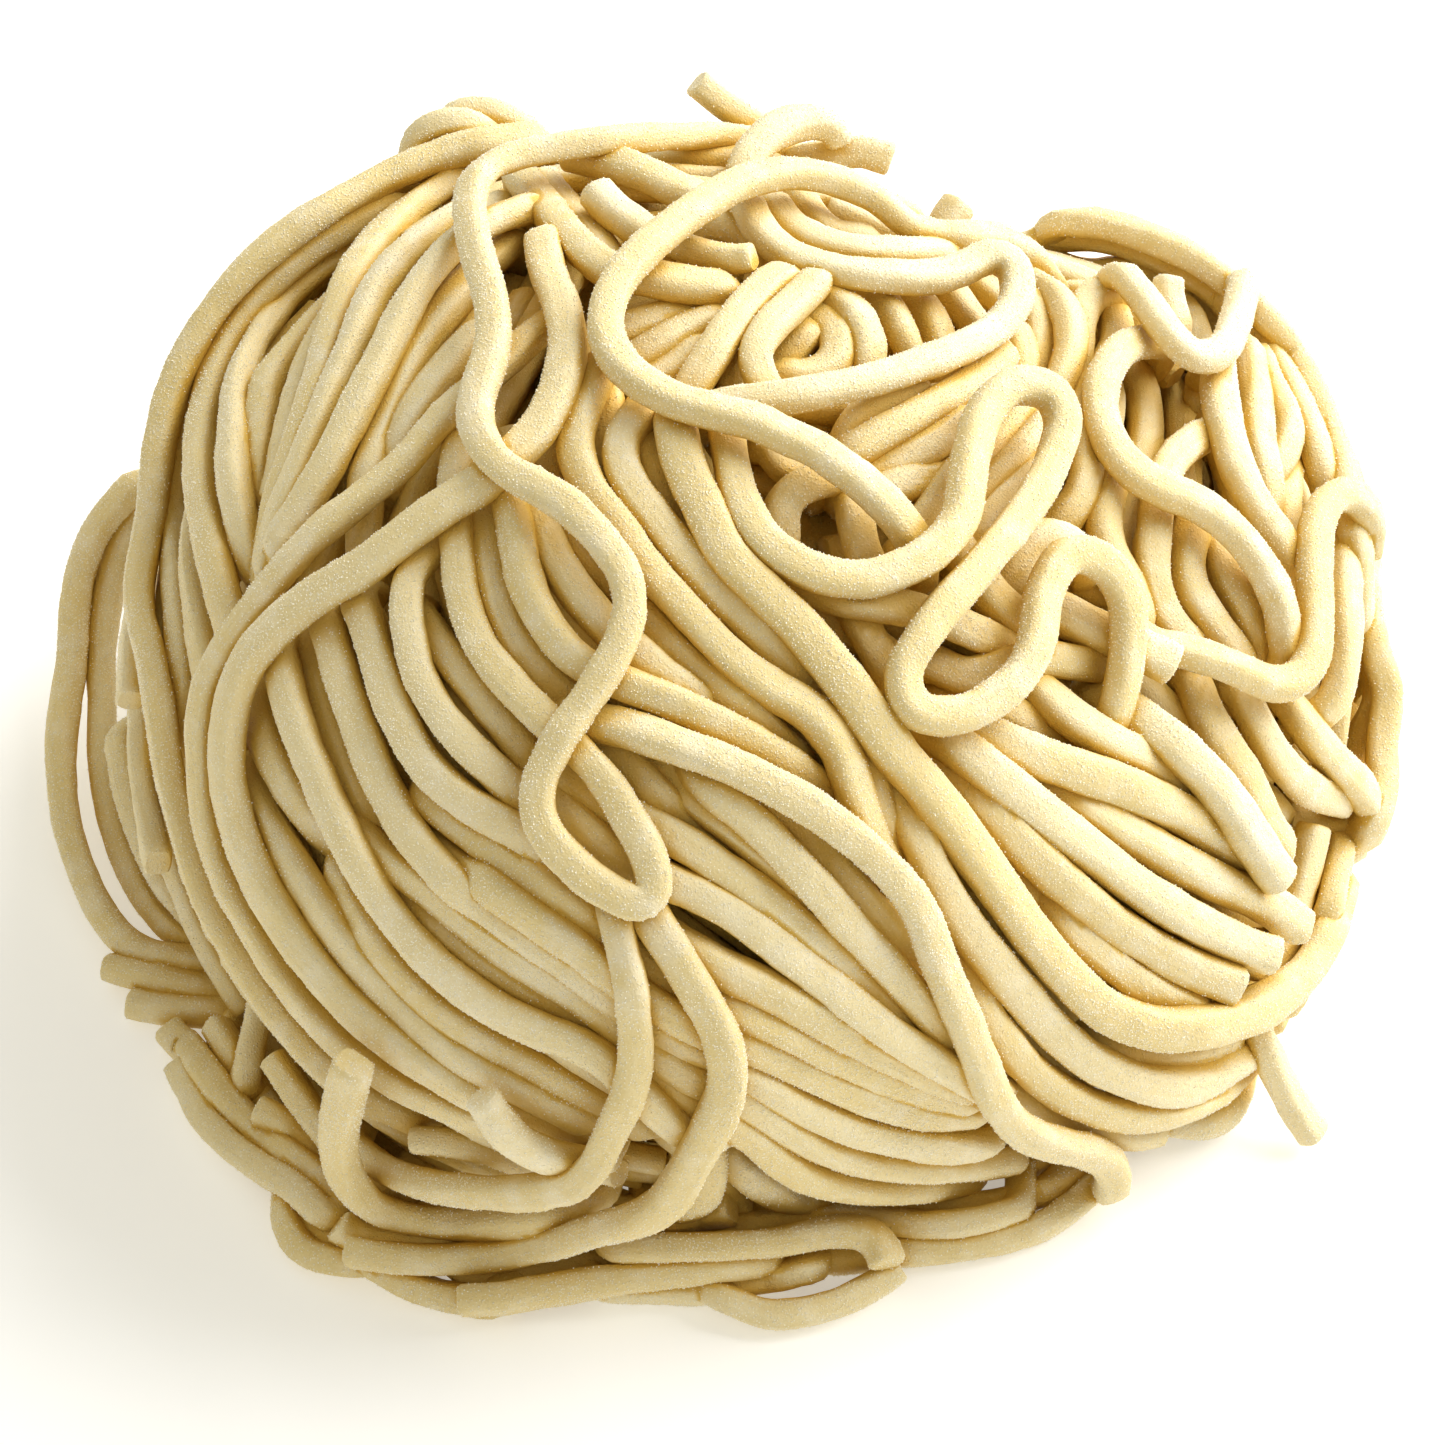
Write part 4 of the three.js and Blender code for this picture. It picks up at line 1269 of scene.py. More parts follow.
class Value:
    """A number in a node tree that arithmetic can be written with."""

    def __init__(self, bench: "Bench", socket: bpy.types.NodeSocket | bpy.types.Node) -> None:
        """Keeps the socket or node that gives the number, and the bench that its Math nodes are made on."""
        self.bench, self.socket = bench, socket

    def reckon(self, operation: str, *parts: "Value | float") -> "Value":
        """Returns the result of a Math node on parts."""
        made = self.bench.node("ShaderNodeMath", {"operation": operation}, dict(enumerate(parts)))
        return Value(self.bench, made)

    def __add__(self, other: "Value | float") -> "Value":
        """Returns self + other."""
        return self.reckon("ADD", self, other)

    __radd__ = __add__

    def __mul__(self, other: "Value | float") -> "Value":
        """Returns self * other."""
        return self.reckon("MULTIPLY", self, other)

    __rmul__ = __mul__

    def __sub__(self, other: "Value | float") -> "Value":
        """Returns self - other."""
        return self.reckon("SUBTRACT", self, other)

    def __rsub__(self, other: "Value | float") -> "Value":
        """Returns other - self."""
        return self.reckon("SUBTRACT", other, self)

    def __truediv__(self, other: "Value | float") -> "Value":
        """Returns self / other."""
        return self.reckon("DIVIDE", self, other)

    def __pow__(self, other: "Value | float") -> "Value":
        """Returns self ** other."""
        return self.reckon("POWER", self, other)

    def __abs__(self) -> "Value":
        """Returns the size of self."""
        return self.reckon("ABSOLUTE", self)

    def between(self, low: float, high: float) -> "Value":
        """Returns 0 below low, 1 above high, and a smooth rise between them."""
        made = self.bench.node("ShaderNodeMapRange", {"interpolation_type": "SMOOTHSTEP"},
                               {"Value": self, "From Min": low, "From Max": high})
        return Value(self.bench, made.outputs["Result"])


Source = Value | bpy.types.NodeSocket | bpy.types.Node | float | int | tuple | str


class Bench:
    """Adds nodes to one tree and joins them up."""

    def __init__(self, tree: bpy.types.NodeTree) -> None:
        """Keeps the tree."""
        self.tree = tree

    def node(self, kind: str, settings: dict[str, Any] | None = None,
             sockets: dict[str | int, Source] | None = None) -> bpy.types.Node:
        """Adds a node.

        Args:
            kind: Blender's name for the type of node.
            settings: The node's own settings, which are set first.
            sockets: A value or a link for each socket, by its name or number. A node alone stands for its
                first output.

        Returns:
            The node.
        """
        made = self.tree.nodes.new(kind)
        for name, value in (settings or {}).items():
            setattr(made, name, value)
        for key, source in (sockets or {}).items():
            if isinstance(key, int):
                target = made.inputs[key]
            else:
                target = next(socket for socket in made.inputs if socket.name == key and socket.enabled)
            if isinstance(source, Value):
                source = source.socket
            if isinstance(source, bpy.types.Node):
                source = source.outputs[0]
            if isinstance(source, bpy.types.NodeSocket):
                self.tree.links.new(source, target)
            else:
                target.default_value = source
        return made

    def value(self, socket: bpy.types.NodeSocket | bpy.types.Node) -> Value:
        """Returns a socket, or a node's first output, as a number to reckon with."""
        return Value(self, socket)

    def mix(self, low: Source, high: Source, share: Source, blend: str = "MIX") -> bpy.types.NodeSocket:
        """Returns a colour between low and high.

        Args:
            low: The colour where share is 0.
            high: The colour where share is 1, or what low is multiplied by there.
            share: How much of high there is.
            blend: Blender's name for the way of mixing, MIX or MULTIPLY.

        Returns:
            The colour's socket.
        """
        made = self.node("ShaderNodeMix", {"data_type": "RGBA", "blend_type": blend},
                         {"Factor": share, "A": low, "B": high})
        return next(socket for socket in made.outputs if socket.enabled)

    def surface(self, sockets: dict[str | int, Source]) -> None:
        """Ends a material with a shader that has these values and links."""
        shader = self.node("ShaderNodeBsdfPrincipled", {}, sockets)
        self.node("ShaderNodeOutputMaterial", {}, {"Surface": shader})


def opaque(colour: Colour) -> tuple[float, float, float, float]:
    """Returns a colour with a full alpha."""
    return (*colour, 1.0)


def empty_material(name: str) -> tuple[bpy.types.Material, Bench]:
    """Returns a new material without nodes, and a bench for its tree.

    Args:
        name: The material's name.

    Returns:
        The material and the bench.
    """
    material = bpy.data.materials.new(name)
    material.use_nodes = True
    material.node_tree.nodes.clear()
    return material, Bench(material.node_tree)


@dataclass(frozen=True)
class DoughFinish:
    """Fresh egg dough: pale, matt and floured, with shade painted in, darker and browner where strands close
    it in.

    Scales are features to the metre, but for the streaks, which run along the strand.
    """

    name: str = "fresh_dough"
    pale: Colour = (0.86, 0.74, 0.45)
    warm: Colour = (0.77, 0.61, 0.27)
    flour: Colour = (0.94, 0.90, 0.79)
    shade: Colour = (0.74, 0.67, 0.50)
    # gap is the painted shade: the colour that the dough is multiplied by where other strands close it in.
    gap: Colour = (0.83, 0.65, 0.21)
    roughness: float = 0.56
    gloss: float = 0.42
    relief: float = 0.15 * METRES
    # The shut values over which the painted shade sets in.
    painted_shade_from: float = 0.12
    painted_shade_to: float = 0.60
    streak_scale: float = 3.4
    streak_pace: float = 45.0
    patch_scale: float = 95.0
    mottle_scale: float = 520.0
    grain_scale: float = 6200.0
    sand_scale: float = 3900.0
    crumb_scale: float = 1900.0

    def make(self) -> bpy.types.Material:
        """Makes the material.

        Returns:
            A material that reads object coordinates and the strands' own attributes.
        """
        material, bench = empty_material(self.name)
        coords = bench.node("ShaderNodeTexCoord").outputs["Object"]

        def noise(scale: float, detail: float, vector: Source = coords) -> Value:
            """Returns even noise with so many features to the metre."""
            made = bench.node("ShaderNodeTexNoise", {}, {"Vector": vector, "Scale": scale, "Detail": detail})
            return bench.value(made)

        def own(name: str, output: str = "Fac") -> bpy.types.NodeSocket:
            """Returns what the strands carry under a name."""
            return bench.node("ShaderNodeAttribute", {"attribute_name": name}).outputs[output]

        def specks(scale: float, smallest: float, largest: float, share: float) -> Value:
            """Returns round dots, in a share of the cells of a random pattern.

            Args:
                scale: How many cells there are to the metre.
                smallest: How far from its middle a dot starts to fade, as a share of a cell.
                largest: How far from its middle it ends.
                share: The share of cells that have a dot.

            Returns:
                1 in a dot and 0 between them.
            """
            dust = bench.node("ShaderNodeTexVoronoi", {}, {"Vector": coords, "Scale": scale})
            split = bench.node("ShaderNodeSeparateColor", {}, {"Color": dust.outputs["Color"]})
            chance = bench.value(split).between(1.0 - share, 1.3 - share)
            return (1 - bench.value(dust.outputs["Distance"]).between(smallest, largest)) * chance

        tint, shut = bench.value(own("tint")), bench.value(own("shut"))
        split = bench.node("ShaderNodeSeparateXYZ", {}, {0: own("around", "Vector")})
        run = bench.value(own("along")) * self.streak_pace + tint * 31.0
        lengthwise = bench.node("ShaderNodeCombineXYZ", {}, {
            0: split.outputs["X"], 1: split.outputs["Y"], 2: run,
        })
        streaks = noise(self.streak_scale, 3.0, lengthwise)
        patches = noise(self.patch_scale, 2.0)
        mottle = noise(self.mottle_scale, 3.0)
        grain = noise(self.grain_scale, 2.0)
        sand = specks(self.sand_scale, 0.16, 0.40, 0.8)
        crumbs = specks(self.crumb_scale, 0.10, 0.24, 0.5)
        bloom = (patches * 0.6 + mottle * 0.5).between(0.52, 0.80)
        ripe = (tint * 0.8 + mottle * 0.5 + streaks * 0.7 - 0.5).between(0.0, 1.0)
        colour = bench.mix(opaque(self.warm), opaque(self.pale), ripe)
        colour = bench.mix(colour, opaque(self.shade), grain.between(0.62, 0.36) * 0.2, "MULTIPLY")
        colour = bench.mix(colour, opaque(self.flour), bloom * 0.34 + sand * 0.48 + crumbs * 0.45)
        # Painted shade: the colour turns darker and browner where the strands around shut a spot in.
        colour = bench.mix(colour, opaque(self.gap), shut.between(self.painted_shade_from, self.painted_shade_to), "MULTIPLY")
        height = grain * 0.5 + sand * 0.25 + crumbs * 0.1 + streaks * 0.3
        bump = bench.node("ShaderNodeBump", {}, {"Height": height, "Distance": self.relief, "Strength": 1.0})
        bench.surface({
            "Base Color": colour,
            "Roughness": self.roughness + bloom * 0.2,
            "Normal": bump,
            "Specular IOR Level": self.gloss,
        })
        return material


@dataclass(frozen=True)
class FlourFinish:
    """Loose grains of flour."""

    name: str = "flour_grains"
    colour: Colour = (0.98, 0.94, 0.82)
    shade: Colour = (0.94, 0.88, 0.70)
    roughness: float = 0.8
    gloss: float = 0.2
    patch_scale: float = 700.0

    def make(self) -> bpy.types.Material:
        """Makes the material.

        Returns:
            A material whose grains differ a little.
        """
        material, bench = empty_material(self.name)
        coords = bench.node("ShaderNodeTexCoord").outputs["Object"]
        made = bench.node("ShaderNodeTexNoise", {}, {"Vector": coords, "Scale": self.patch_scale})
        share = bench.value(made).between(0.3, 0.7)
        bench.surface({
            "Base Color": bench.mix(opaque(self.colour), opaque(self.shade), share),
            "Roughness": self.roughness,
            "Specular IOR Level": self.gloss,
        })
        return material


@dataclass(frozen=True)
class TableFinish:
    """A plain pale table top."""

    name: str = "table_top"
    colour: Colour = (0.90, 0.90, 0.89)
    shade: Colour = (0.87, 0.87, 0.86)
    roughness: float = 0.8
    glow: float = 0.32
    patch_scale: float = 14.0

    def make(self) -> bpy.types.Material:
        """Makes the material.

        Returns:
            A matt material that is barely mottled.
        """
        material, bench = empty_material(self.name)
        coords = bench.node("ShaderNodeTexCoord").outputs["Object"]
        made = bench.node("ShaderNodeTexNoise", {}, {
            "Vector": coords, "Scale": self.patch_scale, "Detail": 3.0,
        })
        share = bench.value(made).between(0.3, 0.7)
        bench.surface({
            "Base Color": bench.mix(opaque(self.colour), opaque(self.shade), share),
            "Roughness": self.roughness,
            "Emission Color": opaque(self.colour),
            "Emission Strength": self.glow,
        })
        return material


class Growth:
    """A tree of geometry nodes with named inputs, and what it takes to grow a piece with it."""

    def __init__(self, name: str, inputs: dict[str, str]) -> None:
        """Starts the tree.

        Args:
            name: The tree's name.
            inputs: The kind of each named input, such as Float. Every tree is also given a geometry and a
                finish.
        """
        self.tree = bpy.data.node_groups.new(name, "GeometryNodeTree")
        sockets = self.tree.interface
        sockets.new_socket("Geometry", in_out="INPUT", socket_type="NodeSocketGeometry")
        sockets.new_socket("Geometry", in_out="OUTPUT", socket_type="NodeSocketGeometry")
        self.keys = {}
        for label, kind in (inputs | {"Finish": "Material"}).items():
            made = sockets.new_socket(label, in_out="INPUT", socket_type=f"NodeSocket{kind}")
            self.keys[label] = made.identifier
        self.bench = Bench(self.tree)
        self.given = self.bench.node("NodeGroupInput").outputs

    def number(self, label: str) -> Value:
        """Returns a named input as a number to reckon with."""
        return self.bench.value(self.given[label])

    def end(self, geometry: Source) -> None:
        """Ends the tree.

        Args:
            geometry: What has been grown, which becomes plain faces in the finish that is given.
        """
        real = self.bench.node("GeometryNodeRealizeInstances", {}, {"Geometry": geometry})
        dressed = self.bench.node("GeometryNodeSetMaterial", {}, {
            "Geometry": real, "Material": self.given["Finish"],
        })
        self.bench.node("NodeGroupOutput", {}, {0: dressed})

    def grow(self, carrier: bpy.types.Object, values: dict[str, Any], name: str) -> bpy.types.Object:
        """Runs the tree on a carrier and keeps the result as a plain mesh.

        Args:
            carrier: The object whose mesh the tree starts from.
            values: A value for each named input.
            name: The name of the new piece.

        Returns:
            The new piece. The carrier keeps its mesh and loses the modifier.
        """
        modifier = carrier.modifiers.new(self.tree.name, "NODES")
        modifier.node_group = self.tree
        for label, value in values.items():
            modifier[self.keys[label]] = value
        graph = bpy.context.evaluated_depsgraph_get()
        mesh = bpy.data.meshes.new_from_object(carrier.evaluated_get(graph), depsgraph=graph)
        carrier.modifiers.remove(modifier)
        mesh.name = name
        return placed(name, mesh)


def hand_over(piece: bpy.types.Object) -> None:
    """Makes a finished piece part of the nest.

    Args:
        piece: The piece.
    """
    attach(piece, "root")
    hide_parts("pasta_nest")
    LOG.info("%s: %d triangles", piece.name, len(piece.data.loops) - 2 * len(piece.data.polygons))


@dataclass(frozen=True)
class Cut:
    """How a strand is cut: a soft-cornered ribbon, broader than it is thick, and never quite even."""

    width: float = 2.62
    height: float = 2.2
    squareness: float = 3.6
    sides: int = 16
    unevenness: float = 0.17
    unevenness_scale: float = 130.0
    twist: float = 2.4
    twist_scale: float = 45.0
    coarseness: float = 0.15
    coarseness_scale: float = 520.0

    def growth(self) -> Growth:
        """Makes the tree that gives lines this cut.

        Returns:
            The tree, ready to grow strands with.
        """
        growth = Growth("strand_cut", {
            "Width": "Float", "Height": "Float", "Squareness": "Float", "Sides": "Int",
            "Unevenness": "Float", "Twist": "Float", "Coarseness": "Float",
        })
        bench, given, number = growth.bench, growth.given, growth.number

        def noise(scale: float, shift: Source) -> Value:
            """Returns noise along the strands, about nought.

            Args:
                scale: How many features it has to the metre.
                shift: A number that sets which noise it is.

            Returns:
                The noise, from -0.5 to 0.5.
            """
            place = bench.node("GeometryNodeInputPosition")
            made = bench.node("ShaderNodeTexNoise", {"noise_dimensions": "4D"},
                              {"Vector": place, "W": shift, "Scale": scale, "Detail": 1.0})
            return bench.value(made) - 0.5

        def named(name: str) -> Value:
            """Returns the number that the lines carry under a name."""
            made = bench.node("GeometryNodeInputNamedAttribute", {"data_type": "FLOAT"}, {"Name": name})
            return bench.value(made)

        curve = bench.node("GeometryNodeMeshToCurve", {}, {"Mesh": given["Geometry"]})
        outward = bench.node("GeometryNodeInputNamedAttribute", {"data_type": "FLOAT_VECTOR"}, {
            "Name": "outward",
        })
        faced = bench.node("GeometryNodeSetCurveNormal", {"mode": "FREE"}, {
            "Curve": curve, "Normal": outward,
        })
        tilted = bench.node("GeometryNodeSetCurveTilt", {}, {
            "Curve": faced, "Tilt": noise(self.twist_scale, named("phase")) * number("Twist"),
        })
        circle = bench.node("GeometryNodeCurvePrimitiveCircle", {}, {
            "Resolution": given["Sides"], "Radius": 1.0,
        })
        spot = bench.node("GeometryNodeInputPosition")
        split = bench.node("ShaderNodeSeparateXYZ", {}, {0: spot})
        x, y = bench.value(split.outputs["X"]), bench.value(split.outputs["Y"])
        power = number("Squareness")
        reach = (abs(x) ** power + abs(y) ** power) ** ((power ** -1.0) * -1.0)
        corner = bench.node("ShaderNodeCombineXYZ", {}, {
            0: x * reach * number("Height") * 0.5, 1: y * reach * number("Width") * 0.5,
        })
        around = bench.node("GeometryNodeStoreNamedAttribute", {"data_type": "FLOAT_VECTOR"}, {
            "Geometry": circle, "Name": "around", "Value": spot,
        })
        profile = bench.node("GeometryNodeSetPosition", {}, {"Geometry": around, "Position": corner})
        along = bench.node("GeometryNodeStoreNamedAttribute", {"data_type": "FLOAT"}, {
            "Geometry": tilted, "Name": "along",
            "Value": bench.node("GeometryNodeSplineParameter").outputs["Length"],
        })
        swelling = noise(self.unevenness_scale, named("phase")) * 2.0 * number("Unevenness")
        swept = bench.node("GeometryNodeCurveToMesh", {}, {
            "Curve": along, "Profile Curve": profile,
            "Scale": named("girth") * (swelling + 1.0),
            "Fill Caps": True,
        })
        normal = bench.node("GeometryNodeInputNormal").outputs["Normal"]
        rough = bench.node("ShaderNodeVectorMath", {"operation": "SCALE"}, {
            0: normal, "Scale": noise(self.coarseness_scale, 0.0) * number("Coarseness") * (2.0 * METRES),
        })
        moved = bench.node("GeometryNodeSetPosition", {}, {"Geometry": swept, "Offset": rough})
        smooth = bench.node("GeometryNodeSetShadeSmooth", {}, {"Geometry": moved})
        growth.end(smooth)
        return growth


@dataclass
class StrandMaker:
    """Turns settled lines into dressed strands, a piece for each group."""

    heap: Heap
    cut: Cut
    finish: bpy.types.Material
    deep_sides: int = 8
    parts: int = 2
    end_girth: float = 0.84
    phases: tuple[float, float] = (0.0, 12.0)
    tints: tuple[float, float] = (0.15, 0.85)

    def __post_init__(self) -> None:
        """Makes the tree that every piece shares."""
        self.growth = self.cut.growth()

    def carrier(self, strands: Sequence[Strand], parts: int,
                random: np.random.Generator) -> bpy.types.Object:
        """Returns an object that holds the strands as lines of edges.

        Args:
            strands: The strands.
            parts: How many parts each step is cut into.
            random: The source of each strand's own phase and tint.

        Returns:
            The object.
        """
        lines = [with_blunt_ends(smooth_run(strand.points, parts)) for strand in strands]
        outward = np.vstack([facing(line, self.heap.level_and_outward(line)[1]) for line in lines])
        points = np.vstack(lines) * METRES
        ends = np.cumsum([len(line) for line in lines])
        firsts = np.setdiff1d(np.arange(len(points) - 1), ends[:-1] - 1)
        mesh = bpy.data.meshes.new("lines")
        mesh.vertices.add(len(points))
        mesh.edges.add(len(firsts))
        mesh.vertices.foreach_set("co", points.ravel())
        mesh.edges.foreach_set("vertices", np.stack([firsts, firsts + 1], axis=1).ravel())
        own = {
            "girth": [strand.girth for strand in strands],
            "phase": random.uniform(*self.phases, len(strands)),
            "tint": random.uniform(*self.tints, len(strands)),
        }
        counts = [len(line) for line in lines]
        own = {name: np.repeat(np.array(values, dtype=np.float32), counts) for name, values in own.items()}
        own["girth"][np.concatenate([ends - 1, ends - counts])] *= self.end_girth
        for name, values in own.items():
            mesh.attributes.new(name, "FLOAT", "POINT").data.foreach_set("value", values)
        mesh.attributes.new("outward", "FLOAT_VECTOR", "POINT").data.foreach_set("vector", outward.ravel())
        return placed("lines", mesh)

    def build(self, group: str, strands: Sequence[Strand], deep: bool = False) -> bpy.types.Object:
        """Returns one group of strands as a piece.

        Args:
            group: The group's name.
            strands: Its strands.
            deep: Whether they lie deep in the nest, where less detail will do.

        Returns:
            The piece.
        """
        seed = sum(ord(letter) * (place + 1) for place, letter in enumerate(group))
        carrier = self.carrier(strands, 1 if deep else self.parts, np.random.default_rng(seed))
        cut = self.cut
        values = {
            "Width": cut.width * METRES,
            "Height": cut.height * METRES,
            "Squareness": cut.squareness,
            "Sides": self.deep_sides if deep else cut.sides,
            "Unevenness": cut.unevenness,
            "Twist": cut.twist,
            "Coarseness": cut.coarseness,
            "Finish": self.finish,
        }
        piece = self.growth.grow(carrier, values, f"strands_{group}")
        discard(carrier)
        if signed_volume(piece.data) < 0:
            piece.data.flip_normals()
        return piece


def signed_volume(mesh: bpy.types.Mesh) -> float:
    """Returns the volume that a mesh holds.

    Args:
        mesh: The mesh, which is closed.

    Returns:
        The volume, below nought where the faces point inwards.
    """
    solid = bmesh.new()
    solid.from_mesh(mesh)
    volume = solid.calc_volume(signed=True)
    solid.free()
    return volume


@dataclass(frozen=True)
class Shelter:
    """Works out how shut in each spot of the strands is by those around it, for the painted shade and the
    flour.
    """

    rays: int = 18
    reach: float = 11.0
    lift: float = 0.06
    widest: float = 0.97

    def growth(self) -> Growth:
        """Makes the tree that stores the shut attribute, from 0 in the open to 1 where nothing gets in.

        Returns:
            The tree, ready to run on strands.
        """
        growth = Growth("shelter", {"Neighbours": "Object", "Reach": "Float", "Lift": "Float"})
        bench, given = growth.bench, growth.given
        place = bench.node("GeometryNodeInputPosition")
        normal = bench.node("GeometryNodeInputNormal").outputs["Normal"]
        around = bench.node("GeometryNodeObjectInfo", {"transform_space": "ORIGINAL"}, {
            "Object": given["Neighbours"],
        })
        lifted = bench.node("ShaderNodeVectorMath", {"operation": "MULTIPLY_ADD"}, {
            0: normal, 1: given["Lift"], 2: place,
        })
        total: Value | None = None
        for number in range(self.rays):
            height = 1.0 - 2.0 * (number + 0.5) / self.rays
            turn = number * math.pi * GOLDEN_TURN
            flat = math.sqrt(1.0 - height * height)
            lean = (flat * math.cos(turn), flat * math.sin(turn), height)
            leaning = bench.node("ShaderNodeVectorMath", {"operation": "ADD"}, {
                0: normal, 1: tuple(part * self.widest for part in lean),
            })
            cast = bench.node("GeometryNodeRaycast", {}, {
                "Target Geometry": around.outputs["Geometry"], "Source Position": lifted,
                "Ray Direction": leaning, "Ray Length": given["Reach"],
            })
            near = 1 - bench.value(cast.outputs["Hit Distance"]) / growth.number("Reach")
            blocked = bench.value(cast.outputs["Is Hit"]) * near
            total = blocked if total is None else total + blocked
        stored = bench.node("GeometryNodeStoreNamedAttribute", {"data_type": "FLOAT"}, {
            "Geometry": given["Geometry"], "Name": "shut", "Value": total / float(self.rays),
        })
        growth.end(stored)
        return growth

    def apply(self, pieces: Sequence[bpy.types.Object], finish: bpy.types.Material) -> None:
        """Gives every piece its shut attribute.

        Args:
            pieces: The pieces, which all shelter each other.
            finish: Their material, which they keep.
        """
        growth = self.growth()
        crowd = joined(pieces, "neighbours")
        values = {
            "Neighbours": crowd,
            "Reach": self.reach * METRES,
            "Lift": self.lift * METRES,
            "Finish": finish,
        }
        for piece in pieces:
            sheltered = growth.grow(piece, values, piece.name)
            piece.data, sheltered.data = sheltered.data, piece.data
            discard(sheltered)
            piece.data.name = piece.name
        discard(crowd)


def joined(pieces: Sequence[bpy.types.Object], name: str) -> bpy.types.Object:
    """Returns one object with the faces of several pieces.

    Args:
        pieces: The pieces, which are left as they are.
        name: The new object's name.

    Returns:
        The object.
    """
    faces = bmesh.new()
    for piece in pieces:
        faces.from_mesh(piece.data)
    mesh = bpy.data.meshes.new(name)
    faces.to_mesh(mesh)
    faces.free()
    return placed(name, mesh)


@dataclass(frozen=True)
class Core:
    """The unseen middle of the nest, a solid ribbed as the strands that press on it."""

    heap: Heap
    level: float = -9.5
    clearance: float = 3.8
    rib_height: float = 0.7
    rib_pace: float = 2.3
    detail: int = 6
    tint: float = 0.3

    def build(self, finish: bpy.types.Material) -> bpy.types.Object:
        """Returns the core as a piece.

        Args:
            finish: The material of the strands.

        Returns:
            The piece.
        """
        bpy.ops.mesh.primitive_ico_sphere_add(subdivisions=self.detail, radius=1.0)
        piece = bpy.context.object
        piece.name = piece.data.name = "core"
        mesh = piece.data
        corners = np.empty(len(mesh.vertices) * 3, dtype=np.float32)
        mesh.vertices.foreach_get("co", corners)
        directions = unit(corners.reshape(-1, 3).astype(float))
        reach = self.heap.reach(directions, self.level)
        points = np.array(self.heap.hub) + directions * reach[:, None]
        turn = np.arctan2(directions[:, 1], directions[:, 0])
        sway = 5.0 * np.sin(turn * 2.0) + 2.0 * np.sin(points[:, 0] / 5.0)
        ribs = np.sin(points[:, 2] * self.rib_pace + sway)
        points += directions * (self.rib_height * ribs)[:, None]
        points[:, 2] = np.maximum(points[:, 2], self.clearance)
        mesh.vertices.foreach_set("co", (points * METRES).astype(np.float32).ravel())
        # The core is given shut 1 all over, so it takes the dough's painted shade in full.
        for name, value in (("tint", self.tint), ("shut", 1.0)):
            same = np.full(len(points), value, np.float32)
            mesh.attributes.new(name, "FLOAT", "POINT").data.foreach_set("value", same)
        mesh.polygons.foreach_set("use_smooth", np.ones(len(mesh.polygons), dtype=bool))
        mesh.materials.append(finish)
        mesh.update()
        return piece


@dataclass(frozen=True)
class FlourDust:
    """Grains of flour that have stuck to the strands."""

    grains_per_cm2: float = 1650.0
    grain: float = 0.070
    grain_height: float = 1.5
    drift_scale: float = 110.0
    between_drifts: float = 0.3
    shut_from: float = 0.42
    seed: int = 5

    def growth(self) -> Growth:
        """Makes the tree that scatters grains over a mesh.

        Returns:
            The tree, ready to dust a piece with.
        """
        growth = Growth("flour_dust", {
            "Density": "Float", "Grain": "Float", "Shut from": "Float", "Seed": "Int",
        })
        bench, given = growth.bench, growth.given
        place = bench.node("GeometryNodeInputPosition")
        noise = bench.node("ShaderNodeTexNoise", {}, {
            "Vector": place, "Scale": self.drift_scale, "Detail": 1.0,
        })
        drifts = bench.value(noise).between(0.38, 0.68)
        shut = bench.node("GeometryNodeInputNamedAttribute", {"data_type": "FLOAT"}, {"Name": "shut"})
        shown = (growth.number("Shut from") - bench.value(shut)).between(0.0, 0.2)
        density = (drifts + self.between_drifts) * shown * growth.number("Density")
        scattered = bench.node("GeometryNodeDistributePointsOnFaces", {}, {
            "Mesh": given["Geometry"], "Density": density, "Seed": given["Seed"],
        })
        grain = bench.node("GeometryNodeMeshCone", {}, {
            "Vertices": 3, "Radius Top": 0.0, "Radius Bottom": given["Grain"],
            "Depth": growth.number("Grain") * self.grain_height,
        })
        size = bench.node("FunctionNodeRandomValue", {"data_type": "FLOAT_VECTOR"}, {
            0: (0.5, 0.5, 0.4), 1: (1.5, 1.3, 1.3), "Seed": 3,
        })
        turn = bench.node("FunctionNodeRandomValue", {"data_type": "FLOAT_VECTOR"}, {
            0: (0.0, 0.0, 0.0), 1: (0.6, 0.6, 6.28), "Seed": 7,
        })
        turned = bench.node("FunctionNodeRotateRotation", {"rotation_space": "LOCAL"}, {
            0: scattered.outputs["Rotation"],
            1: bench.node("FunctionNodeEulerToRotation", {}, {0: turn}),
        })
        dots = bench.node("GeometryNodeInstanceOnPoints", {}, {
            "Points": scattered.outputs["Points"], "Instance": grain.outputs["Mesh"],
            "Rotation": turned, "Scale": size,
        })
        growth.end(dots)
        return growth

    def build(self, piece: bpy.types.Object, finish: bpy.types.Material, growth: Growth, name: str,
              share: float) -> bpy.types.Object:
        """Returns the grains on one piece.

        Args:
            piece: The strands that they stick to.
            finish: The grains' material.
            growth: The tree that scatters them.
            name: The name of the new piece.
            share: How thickly it is dusted, 1 for as thick as anywhere.

        Returns:
            The grains.
        """
        values = {
            "Density": self.grains_per_cm2 * share * 1.0e4,
            "Grain": self.grain * METRES,
            "Shut from": self.shut_from,
            "Seed": self.seed,
            "Finish": finish,
        }
        return growth.grow(piece, values, name)


@dataclass(frozen=True)
class Lamp:
    """One round soft light that faces the nest."""

    name: str
    place: Triple
    size: float
    power: float
    colour: Colour
    aim: Triple = (0.0, 0.0, 0.03)

    def build(self) -> None:
        """Makes the light."""
        light = bpy.data.lights.new(self.name, "AREA")
        light.shape, light.size = "DISK", self.size
        light.energy, light.color = self.power, self.colour
        lamp = placed(self.name, light)
        lamp.location = Vector(self.place)
        lamp.rotation_euler = (Vector(self.aim) - Vector(self.place)).to_track_quat("-Z", "Y").to_euler()


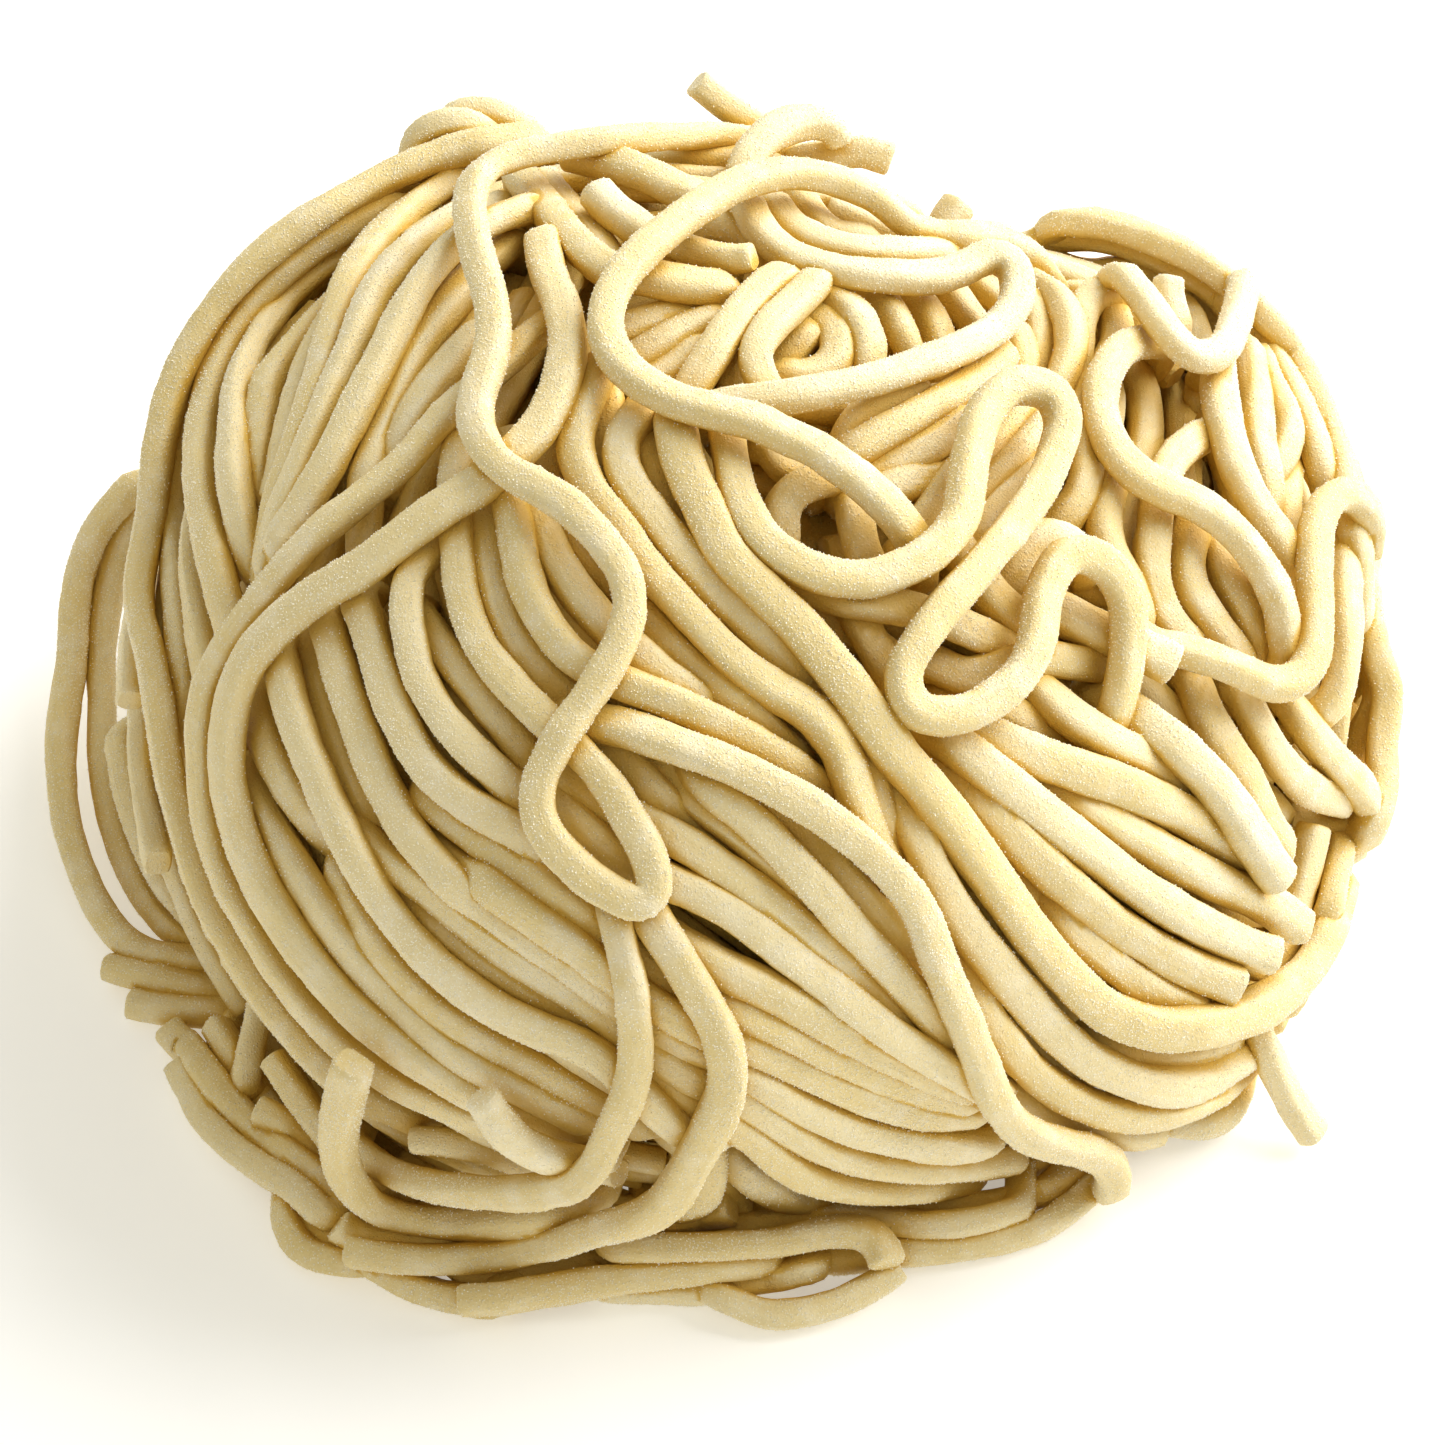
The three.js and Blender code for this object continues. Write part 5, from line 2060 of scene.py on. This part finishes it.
@dataclass(frozen=True)
class Studio:
    """A pale table top under soft light that comes mostly from the right."""

    table_size: float = 4.0
    lamps: tuple[Lamp, ...] = (
        Lamp("key", (0.64, 0.36, 0.56), 1.10, 15.4, (0.97, 0.975, 1.0)),
        Lamp("rim", (0.50, 0.72, 0.32), 0.70, 3.4, (1.0, 0.99, 0.97)),
    )
    sky: Colour = (1.0, 0.975, 0.85)
    sky_strength: float = 0.61

    def build(self) -> None:
        """Makes the table, the lights and the sky."""
        scene = bpy.context.scene
        scene.view_settings.view_transform = "Standard"
        scene.view_settings.look = "None"
        half = self.table_size / 2
        corners = [(-half, -half, 0), (half, -half, 0), (half, half, 0), (-half, half, 0)]
        mesh = bpy.data.meshes.new("table")
        mesh.from_pydata(corners, [], [(0, 1, 2, 3)])
        mesh.materials.append(TableFinish().make())
        placed("table", mesh)
        for lamp in self.lamps:
            lamp.build()
        world = bpy.data.worlds.new("sky")
        world.use_nodes = True
        backdrop = world.node_tree.nodes["Background"]
        backdrop.inputs["Color"].default_value = opaque(self.sky)
        backdrop.inputs["Strength"].default_value = self.sky_strength
        scene.world = world


@dataclass
class Nest:
    """The whole nest: the strands that are written down, those that fill the heap, a core and the flour."""

    eye: Eye
    heap: Heap
    fills: tuple[FillLayer, ...] = (
        FillLayer("back", -1.3, 2.75, Side.AWAY, 0.42, 11, shortest=24.0),
        FillLayer("under", -3.6, 2.75, Side.EVERYWHERE, 0.50, 23),
        FillLayer("inner", -6.0, 2.65, Side.EVERYWHERE, 0.55, 37),
        FillLayer("deep", -8.2, 2.75, Side.EVERYWHERE, 0.45, 41),
    )
    deep_from: float = -5.0
    room: float = 0.9 * LAYER
    back_dusting: float = 0.65

    def strands(self) -> list[Strand]:
        """Returns every strand, settled.

        Returns:
            The strands.
        """
        weaver = Weaver(self.eye, self.heap)
        traced = [weaver.lay(group, route) for group, routes in ROUTES.items() for route in routes]
        LOG.info("routes: %d strands, %d points", len(traced), sum(len(strand.points) for strand in traced))
        filler = Filler(self.heap, Flow.around(self.heap, traced), self.eye)
        everything = list(traced)
        for layer in self.fills:
            in_the_way = []
            for strand in traced:
                near = np.abs(self.heap.distance(strand.points) - layer.level) < self.room
                in_the_way.append(strand.points[~strand.tail & near])
            filled = filler.fill(layer, in_the_way)
            points = sum(len(strand.points) for strand in filled)
            LOG.info("%s: %d strands, %d points", layer.name, len(filled), points)
            everything += filled
        settling = Settling(self.eye, self.heap)
        settling.settle(everything, settling.rounds)
        return everything

    def build(self) -> None:
        """Makes and dresses every piece."""
        dough, flour = DoughFinish().make(), FlourFinish().make()
        strands = self.strands()
        maker = StrandMaker(self.heap, Cut(), dough)
        levels = {layer.name: layer.level for layer in self.fills}
        dusting = {layer.name: layer.dusting for layer in self.fills} | {"round": self.back_dusting}
        deep = {group: levels.get(group, 0.0) < self.deep_from for group in [*ROUTES, *levels]}
        pieces = {}
        for group, low in deep.items():
            pieces[group] = maker.build(group, [strand for strand in strands if strand.group == group], low)
        # Stores the shut attribute, which sets the painted shade in the dough and where flour sticks.
        Shelter().apply(list(pieces.values()), dough)
        dust = FlourDust()
        scatter = dust.growth()
        for group, piece in pieces.items():
            if not deep[group]:
                grains = dust.build(piece, flour, scatter, f"flour_{group}", dusting.get(group, 1.0))
                hand_over(grains)
            hand_over(piece)
        hand_over(Core(self.heap).build(dough))


def main() -> None:
    """Builds the nest and the studio."""
    logging.basicConfig(level=logging.INFO, format="%(message)s")
    eye = Eye()
    eye.camera()
    Studio().build()
    Nest(eye, Heap()).build()


if __name__ == "__main__":
    main()
